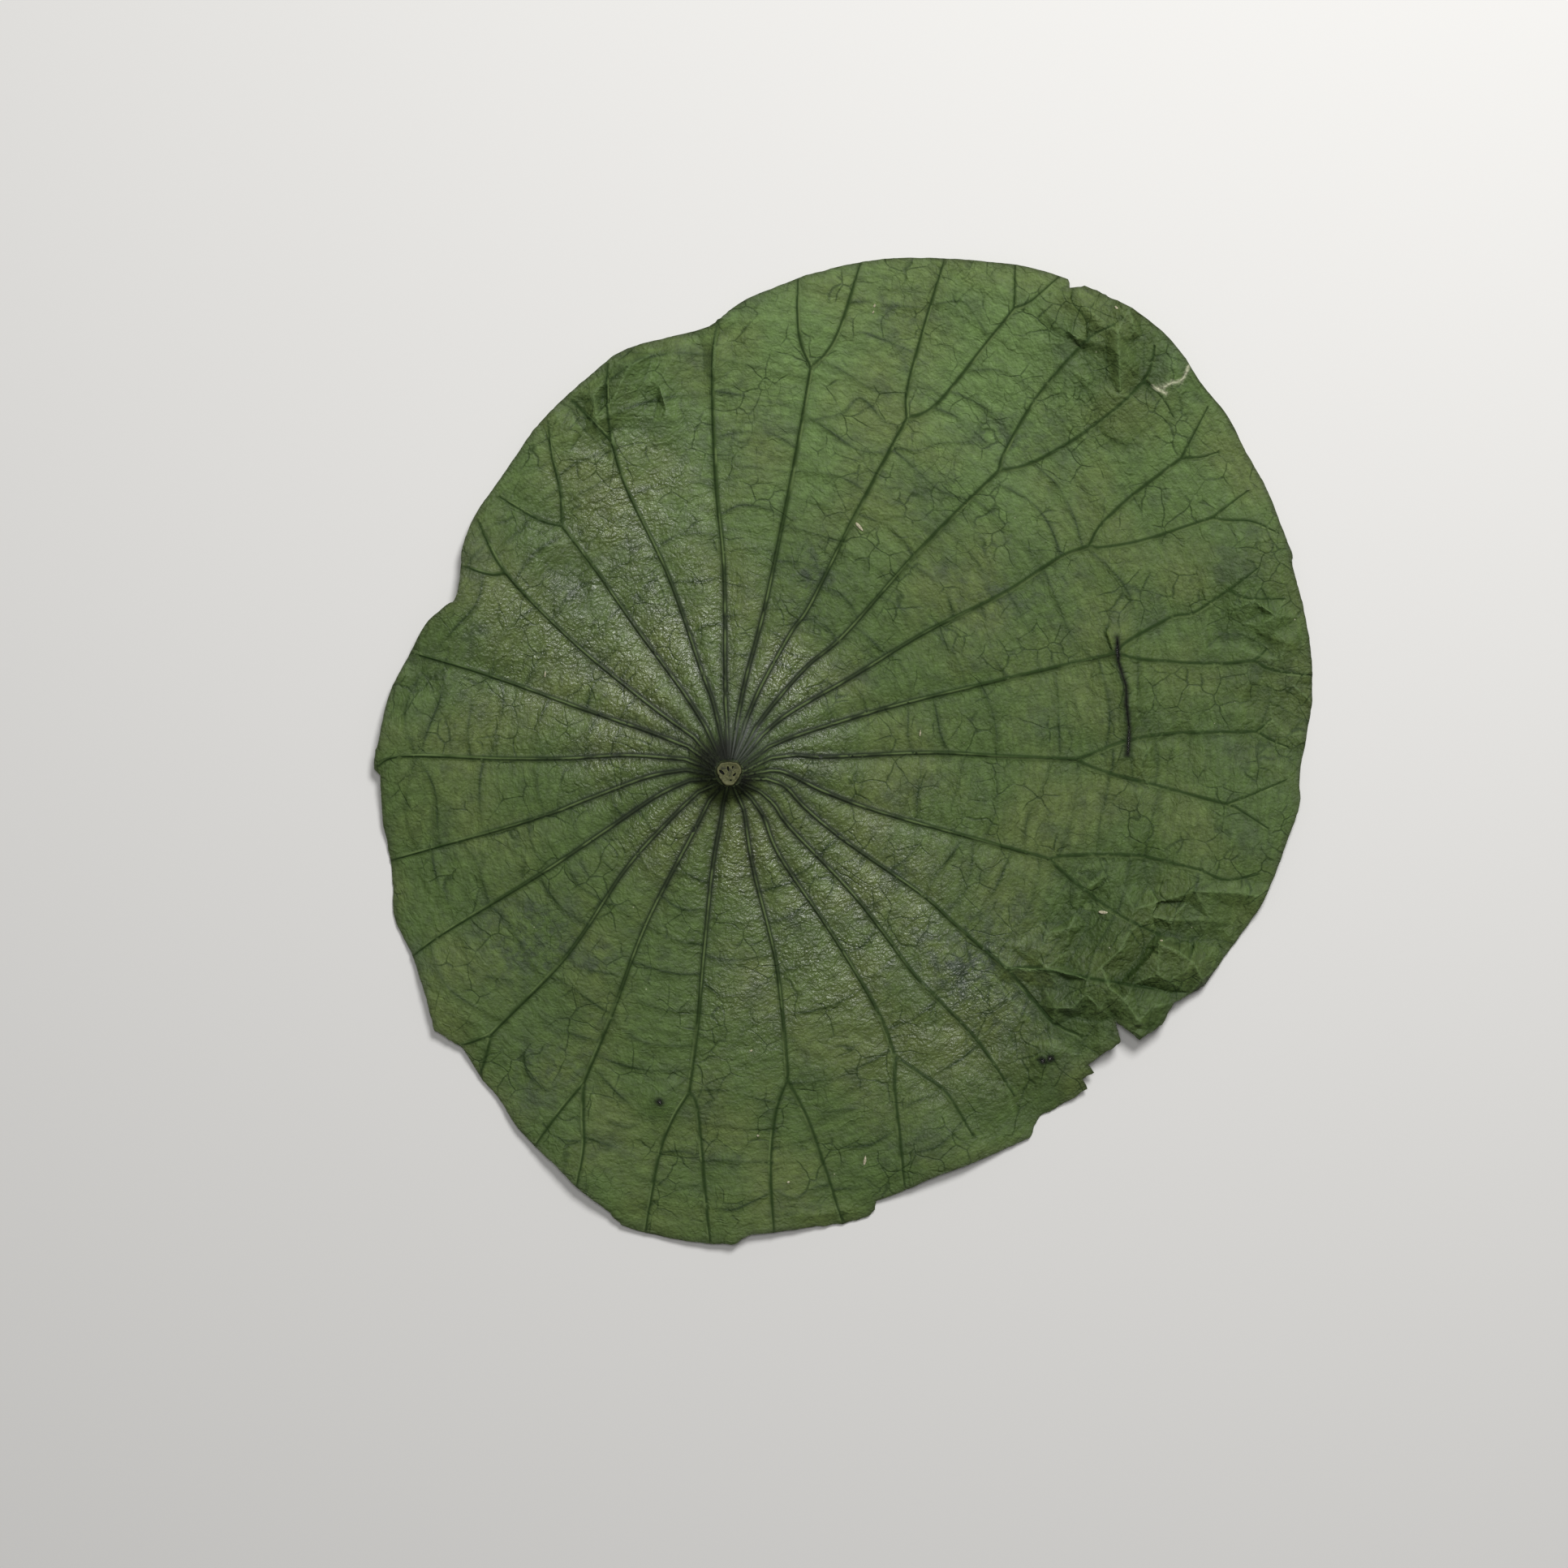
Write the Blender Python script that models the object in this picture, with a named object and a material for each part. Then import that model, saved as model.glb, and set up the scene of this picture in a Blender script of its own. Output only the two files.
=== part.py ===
"""A preserved lotus leaf, about 300 mm across, lying with its veined underside up.

The blade, its veins and the cut stalk stub grew as one piece, so they are one solid. The blade is drawn flat
as a triangle net that has points along its rim, veins, creases and tears. The net is extruded to a closed
slab, and then the lower and upper points are raised to the leaf's lower and upper surface.
"""

import math

import bmesh
import bpy
import numpy as np
from mathutils import Vector
from mathutils.geometry import delaunay_2d_cdt

MM = 0.001

# Blade
BLADE_THICKNESS = 0.55 * MM
NET_SPACING = 9.6 * MM
NET_CLEARANCE = 4.2 * MM
RIM_STEP = 7.0 * MM
RIM_CLEARANCE = 2.2 * MM
MERGE_DISTANCE = 0.04 * MM

# Veins: half width and height of a trunk at the hub and at its fork, of a branch and of a twig
TRUNK_HALF_WIDTH = (1.25 * MM, 0.95 * MM)
TRUNK_HEIGHT = (1.15 * MM, 0.85 * MM)
BRANCH_HALF_WIDTH = 0.8 * MM
BRANCH_HEIGHT = 0.65 * MM
TWIG_HALF_WIDTH = 0.6 * MM
TWIG_HEIGHT = 0.45 * MM
TRUNK_STEP = 9.5 * MM
HUB_STEP = 4.0 * MM
BRANCH_STEP = 8.0 * MM
FOOT_START = 2.5 * MM
FOOT_GAP = 0.7 * MM

# Hub: the blade rises to the stalk as a leaning cone, which flares out below the stub
CONE_FOOT_RADIUS = 13.0 * MM
CONE_NECK_RADIUS = 4.3 * MM
CONE_RISE = 8.0 * MM
CONE_FLARE = 1.5
CONE_HOLLOW = 0.65
CONE_RINGS = (0.0, 0.3, 0.65, 1.0)
VALLEY_REACHES = (17.0, 22.0)

# The veins start thin on the cone, and are widest at the middle one of these shares of their length
HUB_VEIN_HALF_WIDTH = 0.5 * MM
HUB_VEIN_HEIGHT = 0.7 * MM
TRUNK_GROWTH = (0.0, 0.15, 1.0)

# Stub of the cut stalk, a rounded triangle in section with air channels in its cut face
STUB_OFFSET = (0.3 * MM, -3.2 * MM)
STUB_RADIUS = 3.45 * MM
STUB_CORNER = 0.08
STUB_CORNER_BEARING = -90.0
STUB_RISE = 2.6 * MM
STUB_DRAFT = 0.3 * MM
STUB_SIDES = 24
CHANNEL_DEPTH = 2.2 * MM
CHANNEL_SIDES = 6
CHANNEL_FLOOR = 0.7
CHANNEL_WALL = 0.28
# Each air channel: centre from the stub's middle, length and width in mm, and its turn in degrees
CHANNELS = (
    ((-2.2, 0.2), 2.1, 0.9, -42),
    ((-0.3, 1.3), 1.5, 0.7, -80),
    ((1.1, 1.7), 1.0, 0.5, 80),
    ((1.6, -0.5), 1.3, 0.6, 45),
    ((0.5, -2.2), 0.7, 0.5, 0),
)

# The relief of the blade at rest. It touches the surface in a broad ring and lifts at the hub and the rim
SHOULDER_RISE = 3.6 * MM
SHOULDER_SPREAD = 36.0 * MM
SAG = 0.9 * MM
# Each swell: distance in mm and bearing in degrees from the hub, spread and rise in mm
SWELLS = (
    (178, 46, 36, 6.5),
    (172, 62, 26, 3.0),
    (176, 18, 30, 3.2),
    (168, -8, 30, 4.6),
    (146, -33, 27, 6.0),
    (140, -62, 24, 4.0),
    (144, -88, 26, 3.2),
    (138, -112, 26, 4.4),
    (117, -140, 26, 3.4),
    (106, 178, 26, 4.6),
    (102, 148, 26, 5.2),
    (121, 116, 30, 5.0),
    (140, 84, 24, 2.8),
    (82, 20, 22, 1.5),
    (78, -120, 20, 1.4),
    (74, 136, 20, 1.5),
    (92, -48, 24, 1.6),
    (96, 66, 24, 1.5),
)

# Points below are (distance in mm, bearing in degrees) from the hub. Bearings turn from +X towards +Y.

# The rim, clockwise from the top. A smooth stretch is a curve, a torn one runs straight between its points
RIM = (
    ("smooth", (
        (150.2, 81.0), (158.7, 74.4), (165.4, 68.2), (173.6, 60.8), (176.7, 57.9), (179.2, 54.9),
    )),
    ("torn", ((177.6, 54.3), (180.7, 53.3))),
    ("smooth", (
        (183.1, 49.9), (185.2, 45.9), (185.4, 42.4), (184.0, 38.9), (184.7, 35.0), (183.7, 31.2),
        (183.7, 27.2), (182.9, 22.9), (182.6, 20.2), (181.6, 19.3), (181.0, 15.0), (180.2, 10.3),
        (178.6, 6.1), (176.3, 2.9), (173.7, -1.2), (173.9, -4.3), (171.3, -8.0), (169.4, -11.6),
        (167.6, -14.9), (166.2, -16.6), (162.6, -20.7), (159.6, -25.2),
    )),
    ("torn", (
        (153.9, -28.3), (153.6, -31.2), (150.4, -34.0), (141.2, -33.8), (146.4, -35.4), (142.5, -40.1),
        (145.7, -40.3), (144.3, -41.8), (147.4, -42.3), (145.2, -46.2), (143.0, -48.5),
    )),
    ("smooth", ((146.4, -51.3), (142.7, -58.3), (140.7, -63.5), (140.7, -67.9), (140.8, -71.4))),
    ("torn", ((143.2, -71.9), (144.7, -73.2), (144.7, -76.5))),
    ("smooth", ((143.6, -80.1), (143.6, -84.5), (143.8, -87.3))),
    ("torn", ((146.4, -89.3), (146.5, -91.5))),
    ("smooth", ((146.2, -95.0), (145.3, -100.3), (144.5, -103.1))),
    ("smooth", (
        (141.6, -104.7), (137.1, -109.6), (133.4, -113.1), (130.6, -116.9), (128.0, -120.3),
        (123.6, -124.6), (122.1, -128.0), (119.8, -130.9), (118.8, -132.7),
    )),
    ("torn", ((119.6, -135.3), (121.1, -137.6))),
    ("smooth", (
        (116.5, -142.0), (114.4, -145.2), (112.7, -148.6), (112.2, -155.0), (109.2, -159.3),
        (107.4, -163.3), (106.8, -166.6), (106.7, -170.1), (106.1, -174.5), (105.9, -177.9),
    )),
    ("torn", ((107.6, -178.9), (107.2, 178.0))),
    ("smooth", (
        (106.5, 176.9), (105.8, 173.4), (105.2, 168.6), (102.6, 161.7), (101.0, 155.3), (98.0, 150.8),
        (96.7, 149.2), (98.8, 145.7), (102.9, 142.0), (105.2, 139.4), (108.1, 134.8), (111.7, 127.2),
        (117.2, 120.1), (121.4, 114.2), (125.8, 108.7), (129.6, 104.1), (130.9, 97.4), (132.5, 93.0),
    )),
    ("torn", ((135.1, 91.0),)),
    ("smooth", ((138.0, 89.7), (141.6, 87.4), (146.9, 83.2), (150.2, 81.0))),
)


def vein(*route, forks=()):
    """A vein as its route from the hub, or from the fork before it, and the veins that it forks into."""
    return {"route": route, "forks": forks}


# The trunks run clockwise from the top
VEINS = (
    vein((22, 92.6), (59, 91.4), (86, 92.6), (119, 92.4), (134, 91.5)),
    vein((26, 78.4), (48, 76.9), (72, 77.3), (92, 77.6), (123, 78.2), forks=(
        vein((130, 80.3), (139, 81.3), (148, 81.8)),
        vein((128, 76.6), (137, 75.6), (158, 75.2)))),
    vein((25, 67.0), (44, 64.4), (54, 62.7), (84, 62.9), (118, 62.6), forks=(
        vein((126, 64.4), (143, 65.7), (167, 66.8)),
        vein((126, 59.9), (150, 58.4), (163, 57.8), forks=(
            vein((174, 60.0),),
            vein((167, 56.8), (179, 55.7)))))),
    vein((23, 52.4), (38, 50.8), (53, 47.9), (88, 48.1), (121, 47.2), forks=(
        vein((127, 48.4), (145, 49.8), (167, 49.7), (176, 48.7)),
        vein((128, 45.0), (142, 43.2), (159, 42.4), (171, 42.5), forks=(
            vein((176, 43.2), (181, 44.4)),
            vein((172, 40.2), (171, 37.7)))))),
    vein((24, 39.1), (46, 34.8), (72, 33.5), (99, 31.6), (118, 31.8), (128, 31.0), forks=(
        vein((135, 32.6), (148, 33.5), (166, 33.9), forks=(
            vein((170, 34.7), (181, 36.5)),
            vein((171, 32.9), (176, 32.4)))),
        vein((131, 29.9), (143, 28.2), (165, 26.8), forks=(
            vein((172, 27.3), (178, 27.6)),
            vein((168, 26.0), (175, 24.8), (181, 22.7)))))),
    vein((25, 21.3), (52, 19.0), (77, 17.3), (108, 16.1), (122, 15.7), forks=(
        vein((128, 17.0), (142, 18.1), (149, 17.8), (161, 19.0), forks=(
            vein((171, 20.1),),
            vein((165, 17.6), (176, 16.4)))),
        vein((129, 14.1), (149, 11.6), (163, 10.9), forks=(
            vein((167, 11.8),),
            vein((168, 9.6), (179, 8.5)))))),
    vein((21, 6.0), (30, 3.3), (61, 2.8), (85, 1.2), (106, 0.5), forks=(
        vein((112, 1.6), (121, 3.0), (135, 3.7), (161, 3.3), forks=(
            vein((165, 4.4),),
            vein((165, 2.4), (170, 1.6)))),
        vein((112, -1.1), (129, -3.0), (152, -4.8), forks=(
            vein((157, -3.9), (169, -1.9)),
            vein((157, -5.5), (165, -7.0)))))),
    vein((18, -10.5), (31, -17.0), (48, -18.1), (74, -17.3), (102, -16.8), forks=(
        vein((107, -15.4), (115, -14.2), (128, -12.9), (145, -12.9), (155, -13.3), (164, -12.0)),
        vein((109, -18.6), (125, -21.2), (141, -21.8)))),
    vein((19, -23.2), (27, -30.5), (43, -33.9), (71, -34.3), (85, -35.6), (106, -36.7), forks=(
        vein((111, -34.3), (131, -30.3), (146, -28.1)),
        vein((118, -38.0), (127, -38.7), (135, -37.9)))),
    vein((19, -42.9), (27, -46.5), (53, -46.5), (70, -47.7), (87, -48.8), (112, -48.2), (134, -49.4)),
    vein((20, -57.5), (33, -61.3), (62, -58.9), (88, -59.1), (103, -60.5), forks=(
        vein((112, -63.2), (124, -65.3), (139, -67.4)),
        vein((111, -58.4), (120, -56.7), (135, -56.8)))),
    vein((17, -73.1), (33, -77.0), (63, -76.7), (93, -79.1), (98, -79.6), forks=(
        vein((107, -82.3), (123, -84.1), (144, -84.5)),
        vein((111, -77.6), (124, -76.8), (144, -76.1)))),
    vein((18, -97.7), (33, -98.7), (62, -97.3), (79, -96.8), (101, -96.9), forks=(
        vein((110, -99.0), (122, -100.1), (145, -100.1)),
        vein((107, -95.1), (132, -93.1), (146, -92.2)))),
    vein((24, -116.8), (55, -117.1), (85, -114.9), (107, -114.4), forks=(
        vein((118, -115.9), (130, -116.8)),
        vein((116, -112.5), (125, -110.7), (137, -109.7)))),
    vein((24, -135.8), (45, -134.1), (77, -130.0), (110, -131.2), forks=(
        vein((116, -132.8), (119, -133.7)),
        vein((116, -129.6), (122, -128.5)))),
    vein((24, -155.0), (43, -151.1), (66, -149.4), (101, -149.1), (113, -148.5)),
    vein((25, -169.9), (45, -165.4), (62, -163.8), (108, -163.9)),
    vein((31, 175.9), (50, 178.6), (69, 179.0), (99, 178.9), (107, 180.7)),
    vein((27, 158.9), (47, 159.8), (77, 160.0), (103, 160.9)),
    vein((31, 143.8), (57, 142.4), (79, 140.6), (89, 139.6), forks=(
        vein((92, 141.6), (100, 143.5)),
        vein((95, 138.5), (105, 136.2)))),
    vein((26, 122.8), (50, 124.5), (71, 124.6), (88, 125.1), forks=(
        vein((94, 128.0), (107, 130.8)),
        vein((97, 121.8), (108, 119.8), (117, 117.9)))),
    vein((20, 104.6), (29, 106.4), (60, 107.9), (89, 110.4), (104, 110.0), forks=(
        vein((111, 111.6), (119, 113.2)),
        vein((115, 108.6), (126, 107.0)))),
)

# Creases stand up from the blade: route, half width and rise in mm
CREASES = (
    # the long fold across the right side, above and below the crack
    (((139.3, 36.9), (133.5, 29.9), (129.7, 26.3), (124.2, 19.9), (122.5, 18.4)), 3.0, 0.9),
    (((123.0, -2.0), (126.2, -6.4), (129.2, -13.0), (132.3, -15.7), (136.5, -17.3)), 3.0, 0.9),
    # the crumpled lobe at the upper right
    (((167.5, 55.4), (166.0, 53.1), (165.7, 51.0), (167.0, 49.6), (171.0, 47.5), (171.0, 42.6)), 2.6, 1.6),
    (((175.5, 52.0), (173.5, 49.5), (176.0, 46.5)), 2.4, 1.2),
    (((147.0, 42.2), (152.0, 41.4), (155.0, 38.4)), 2.0, 0.8),
    # the pocket of folds at the lower right
    (((140.0, -22.0), (139.5, -25.0), (138.0, -28.5), (134.0, -30.0), (133.0, -33.0)), 2.6, 1.9),
    (((144.0, -22.5), (150.0, -23.5), (153.0, -25.5)), 2.4, 1.3),
    (((121.0, -36.8), (126.0, -35.5), (128.0, -32.8), (131.0, -31.0)), 2.2, 1.0),
    (((126.0, -38.8), (132.0, -36.8), (139.5, -34.8)), 2.2, 1.2),
    (((101.0, -33.2), (108.0, -31.6), (118.0, -30.4)), 2.2, 0.9),
    # the pleat and the dark fold at the upper left, and the lip along the rim there
    (((111.0, 92.9), (119.0, 92.8), (128.0, 92.0)), 2.2, 0.8),
    (((126.0, 101.0), (122.5, 106.0), (119.0, 111.5)), 2.4, 1.2),
    (((112.0, 103.0), (111.0, 109.0), (110.0, 116.0)), 2.2, 0.9),
    # the dent in the right edge, and the torn flap at the bottom
    (((166.0, 14.0), (171.0, 12.5), (177.0, 11.8)), 2.4, 1.0),
    (((139.0, -82.0), (140.5, -78.0), (141.0, -74.5)), 2.0, 0.9),
)

# The open crack in the long fold: its two lips from its upper end to its lower end
CRACK_LEFT_LIP = ((123.5, 17.8), (122.0, 16.2), (122.1, 14.6), (122.6, 10.9), (121.6, 8.3), (121.6, 4.8))
CRACK_RIGHT_LIP = ((121.8, 1.0), (122.6, 2.9), (123.0, 5.0), (122.9, 8.2), (123.4, 10.8), (122.7, 14.4))
# Holes eaten through: distance, bearing, radius in mm
HOLES = ((131.6, -43.5, 0.9), (132.7, -42.6, 1.0), (105.4, -101.5, 0.8))
HOLE_SIDES = 5

LEAF_GREEN = (0.074, 0.117, 0.041, 1.0)
LEAF_ROUGHNESS = 0.55


def from_hub(distance, bearing):
    """The point at a distance in mm and a bearing in degrees from the hub, in metres."""
    angle = math.radians(bearing)
    return np.array([math.cos(angle), math.sin(angle)]) * distance * MM


def along(points, step, curved=True):
    """Points about a step apart, on a curve or on straight lines through the given points."""
    points = np.asarray(points, float)
    padded = np.vstack([2 * points[0] - points[1], points, 2 * points[-1] - points[-2]])
    found = []
    for before, start, end, after in zip(padded, padded[1:], padded[2:], padded[3:]):
        pieces = max(1, round(np.linalg.norm(end - start) / step))
        for share in np.arange(pieces) / pieces:
            if curved:
                out = (end - before) / 2
                into = (after - start) / 2
                swing = 3 * (end - start) - 2 * out - into
                rest = 2 * (start - end) + out + into
                found.append(start + share * (out + share * (swing + share * rest)))
            else:
                found.append(start + share * (end - start))
    found.append(points[-1])
    return np.array(found)


def rim_loop():
    """The rim as one closed loop of points, clockwise."""
    loop = []
    last = None
    for kind, places in RIM:
        points = [from_hub(*place) for place in places]
        if last is not None:
            loop.extend(along([last, points[0]], RIM_STEP, curved=False)[1:-1])
        if len(points) > 1:
            loop.extend(along(points, RIM_STEP, curved=kind == "smooth"))
        else:
            loop.extend(points)
        last = points[-1]
    return np.array(loop[:-1])


def inside(points, loop):
    """True for each point that lies inside the loop."""
    x, y = points[:, 0, None], points[:, 1, None]
    start, end = loop, np.roll(loop, -1, axis=0)
    spans = (start[:, 1] > y) != (end[:, 1] > y)
    rise = np.where(end[:, 1] == start[:, 1], 1.0, end[:, 1] - start[:, 1])
    crossing = start[:, 0] + (y - start[:, 1]) * (end[:, 0] - start[:, 0]) / rise
    return (spans & (x < crossing)).sum(axis=1) % 2 == 1


def distances(points, starts, ends):
    """The distance from each point to each segment, and how far along the segment the nearest place is."""
    run = ends - starts
    length_squared = np.maximum((run**2).sum(axis=1), 1e-18)
    offset = points[:, None, :] - starts[None]
    share = np.clip((offset * run).sum(axis=2) / length_squared, 0, 1)
    gap = offset - share[..., None] * run
    return np.sqrt((gap**2).sum(axis=2)), share


def loop_distance(points, loop):
    """The distance from each point to a closed loop."""
    return distances(points, loop, np.roll(loop, -1, axis=0))[0].min(axis=1)


def on_cone(climb, bearings):
    """Points around the cone, climb being 0 at its foot and 1 at its neck."""
    angles = np.radians(bearings)
    radius = CONE_FOOT_RADIUS + climb * (CONE_NECK_RADIUS - CONE_FOOT_RADIUS)
    return climb * np.array(STUB_OFFSET) + radius * np.stack([np.cos(angles), np.sin(angles)], axis=-1)


def vein_lines():
    """Every vein as a list of points, with the half width and the height at each."""
    lines = []

    def add(branch, start, level):
        points = [start] + [from_hub(*place) for place in branch["route"]]
        step = TRUNK_STEP if level == 0 else BRANCH_STEP
        if level == 0:
            first = along(points[:2], HUB_STEP)
            route = np.vstack([on_cone(1, branch["route"][0][1]), first[:-1], along(points[1:], step)])
            share = np.linspace(0, 1, len(route))
            width = np.interp(share, TRUNK_GROWTH, (HUB_VEIN_HALF_WIDTH, *TRUNK_HALF_WIDTH))
            height = np.interp(share, TRUNK_GROWTH, (HUB_VEIN_HEIGHT, *TRUNK_HEIGHT))
        else:
            route = along(points, step)
            wide, tall = (BRANCH_HALF_WIDTH, BRANCH_HEIGHT) if level == 1 else (TWIG_HALF_WIDTH, TWIG_HEIGHT)
            width = np.full(len(route), wide)
            height = np.full(len(route), tall)
        lines.append({"points": route, "width": width, "height": height})
        for fork in branch["forks"]:
            add(fork, points[-1], level + 1)

    for trunk in VEINS:
        add(trunk, on_cone(0, trunk["route"][0][1]), 0)
    return lines


def crease_rise(points):
    """How far the creases stand up."""
    rise = np.zeros(len(points))
    for route, half_width, crest in CREASES:
        line = np.array([from_hub(*place) for place in route])
        gap = distances(points, line[:-1], line[1:])[0].min(axis=1)
        rise = np.maximum(rise, crest * MM * np.exp(-((gap / (half_width * MM)) ** 2)))
    return rise


def cone_climb(points):
    """How far up the hub's leaning cone each point is, from 0 at its foot to 1 at its neck."""
    shift = np.array(STUB_OFFSET)
    taper = CONE_FOOT_RADIUS - CONE_NECK_RADIUS
    a = shift @ shift - taper**2
    b = 2 * (CONE_FOOT_RADIUS * taper - points @ shift)
    c = (points**2).sum(axis=1) - CONE_FOOT_RADIUS**2
    root = np.sqrt(np.maximum(b * b - 4 * a * c, 0))
    return np.clip((-b + root) / (2 * a), 0, 1)


def stub_radius(bearing):
    """The stub's radius at a bearing in degrees: a circle drawn out to three soft corners."""
    return STUB_RADIUS * (1 + STUB_CORNER * np.cos(np.radians(3 * (bearing - STUB_CORNER_BEARING))))


def stub_rise(points):
    """How far the stub stands up from the cone's neck, less its air channels."""
    offset = points - np.array(STUB_OFFSET)
    reach = np.hypot(offset[:, 0], offset[:, 1])
    wall = stub_radius(np.degrees(np.arctan2(offset[:, 1], offset[:, 0])))
    rise = STUB_RISE * np.clip((wall + STUB_DRAFT - reach) / STUB_DRAFT, 0, 1)
    for centre, length, width, turn in CHANNELS:
        place = offset - np.array(centre) * MM
        cos, sin = math.cos(math.radians(turn)), math.sin(math.radians(turn))
        lengthwise = (place[:, 0] * cos + place[:, 1] * sin) / (length * MM / 2)
        crosswise = (place[:, 1] * cos - place[:, 0] * sin) / (width * MM / 2)
        depth = (1 - np.hypot(lengthwise, crosswise)) / CHANNEL_WALL
        rise = rise - CHANNEL_DEPTH * np.clip(depth, 0, 1)
    return rise


def lower_height(points):
    """The lower surface, which is flat where the leaf rests."""
    reach = np.hypot(points[:, 0], points[:, 1])
    height = SHOULDER_RISE * np.exp(-((reach / SHOULDER_SPREAD) ** 2)) - SAG
    for distance, bearing, spread, rise in SWELLS:
        gap = np.linalg.norm(points - from_hub(distance, bearing), axis=1)
        height = height + rise * MM * np.exp(-((gap / (spread * MM)) ** 2))
    cone = CONE_RISE * cone_climb(points) ** CONE_FLARE
    return np.maximum(height, 0) + CONE_HOLLOW * cone


class Relief:
    """The height of the leaf's upper surface, with its veins, at any place in plan."""

    def __init__(self, lines):
        starts, ends, widths, heights = [], [], [], []
        for line in lines:
            starts.append(line["points"][:-1])
            ends.append(line["points"][1:])
            widths.append(np.stack([line["width"][:-1], line["width"][1:]], axis=1))
            heights.append(np.stack([line["height"][:-1], line["height"][1:]], axis=1))
        self.starts, self.ends = np.vstack(starts), np.vstack(ends)
        self.widths, self.heights = np.vstack(widths), np.vstack(heights)

    def ridges(self, points):
        """How far the nearest vein stands up."""
        gap, share = distances(points, self.starts, self.ends)
        width = self.widths[:, 0] + share * (self.widths[:, 1] - self.widths[:, 0])
        height = self.heights[:, 0] + share * (self.heights[:, 1] - self.heights[:, 0])
        return (height * np.maximum(0, 1 - (gap / width) ** 2)).max(axis=1)

    def upper_height(self, points):
        """The upper surface: the lower one, the blade's thickness and all that stands up from it."""
        climb = cone_climb(points)
        solid_cone = (1 - CONE_HOLLOW) * CONE_RISE * climb**CONE_FLARE
        veins = np.where(climb < 1, self.ridges(points), 0)
        relief = veins + crease_rise(points) + solid_cone + stub_rise(points)
        return lower_height(points) + BLADE_THICKNESS + relief


class Net:
    """The points and fixed edges that the flat triangle net is made from."""

    def __init__(self):
        self.points = []
        self.edges = []

    def line(self, points, closed=False):
        """Adds a row of points joined by fixed edges."""
        first = len(self.points)
        self.points.extend(points)
        last = len(self.points) - 1
        self.edges.extend((i, i + 1) for i in range(first, last))
        if closed:
            self.edges.append((last, first))

    def broken_line(self, points, kept):
        """Adds the kept points of a row as lines that stop wherever a point isn't kept."""
        start = None
        for number, keep in enumerate([*kept, False]):
            if keep and start is None:
                start = number
            elif not keep and start is not None:
                self.line(points[start:number])
                start = None

    def loose(self, points):
        """Adds points with no edge of their own."""
        self.points.extend(points)


def add_veins(net, lines, rim):
    """Each vein's crest, and its two feet where no other vein is near."""
    for number, line in enumerate(lines):
        others = [other for i, other in enumerate(lines) if i != number]
        starts = np.vstack([other["points"][:-1] for other in others])
        ends = np.vstack([other["points"][1:] for other in others])
        keep = loop_distance(line["points"], rim) > RIM_CLEARANCE
        keep &= inside(line["points"], rim)
        keep &= np.linalg.norm(line["points"], axis=1) > CONE_FOOT_RADIUS - MERGE_DISTANCE
        crest, width = line["points"][keep], line["width"][keep]
        if len(crest) < 2:
            continue
        net.line(crest)
        direction = np.gradient(crest, axis=0)
        direction /= np.linalg.norm(direction, axis=1)[:, None]
        side = np.stack([-direction[:, 1], direction[:, 0]], axis=1) * width[:, None]
        for sign in (1, -1):
            foot = crest + sign * side
            clear = distances(foot, starts, ends)[0].min(axis=1) > width + FOOT_GAP
            clear &= np.linalg.norm(foot - crest[0], axis=1) > FOOT_START
            clear &= loop_distance(foot, rim) > RIM_CLEARANCE / 2
            net.broken_line(foot, clear)


def add_hub(net):
    """Rings up the cone, with a point on each vein and one in each valley, and the stub with its channels."""
    bearings = sorted(trunk["route"][0][1] % 360 for trunk in VEINS)
    between = [
        (a + (b - a) % 360 / 2) % 360 for a, b in zip(bearings, bearings[1:] + bearings[:1])
    ]
    for climb in CONE_RINGS:
        net.line(on_cone(climb, sorted(bearings + between)), closed=True)
    for distance in VALLEY_REACHES:
        net.loose([from_hub(distance, bearing) for bearing in between])
    turn = np.arange(STUB_SIDES) * 360 / STUB_SIDES
    circle = np.stack([np.cos(np.radians(turn)), np.sin(np.radians(turn))], axis=1)
    for outset in (STUB_DRAFT, 0):
        net.line(np.array(STUB_OFFSET) + (stub_radius(turn) + outset)[:, None] * circle, closed=True)
    for centre, length, width, tilt in CHANNELS:
        cos, sin = math.cos(math.radians(tilt)), math.sin(math.radians(tilt))
        steps = np.arange(CHANNEL_SIDES) * 2 * math.pi / CHANNEL_SIDES
        for size in (1, CHANNEL_FLOOR):
            across = size * length * MM / 2 * np.cos(steps)
            up = size * width * MM / 2 * np.sin(steps)
            loop = np.stack([across * cos - up * sin, across * sin + up * cos], axis=1)
            net.line(np.array(STUB_OFFSET) + np.array(centre) * MM + loop, closed=True)


def openings():
    """The loops that are cut right through the blade."""
    crack = [from_hub(*place) for place in CRACK_LEFT_LIP + CRACK_RIGHT_LIP]
    loops = [np.array(crack)]
    for distance, bearing, radius in HOLES:
        steps = np.arange(HOLE_SIDES) * 2 * math.pi / HOLE_SIDES
        circle = np.stack([np.cos(steps), np.sin(steps)], axis=1) * radius * MM
        loops.append(from_hub(distance, bearing) + circle)
    return loops


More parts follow.
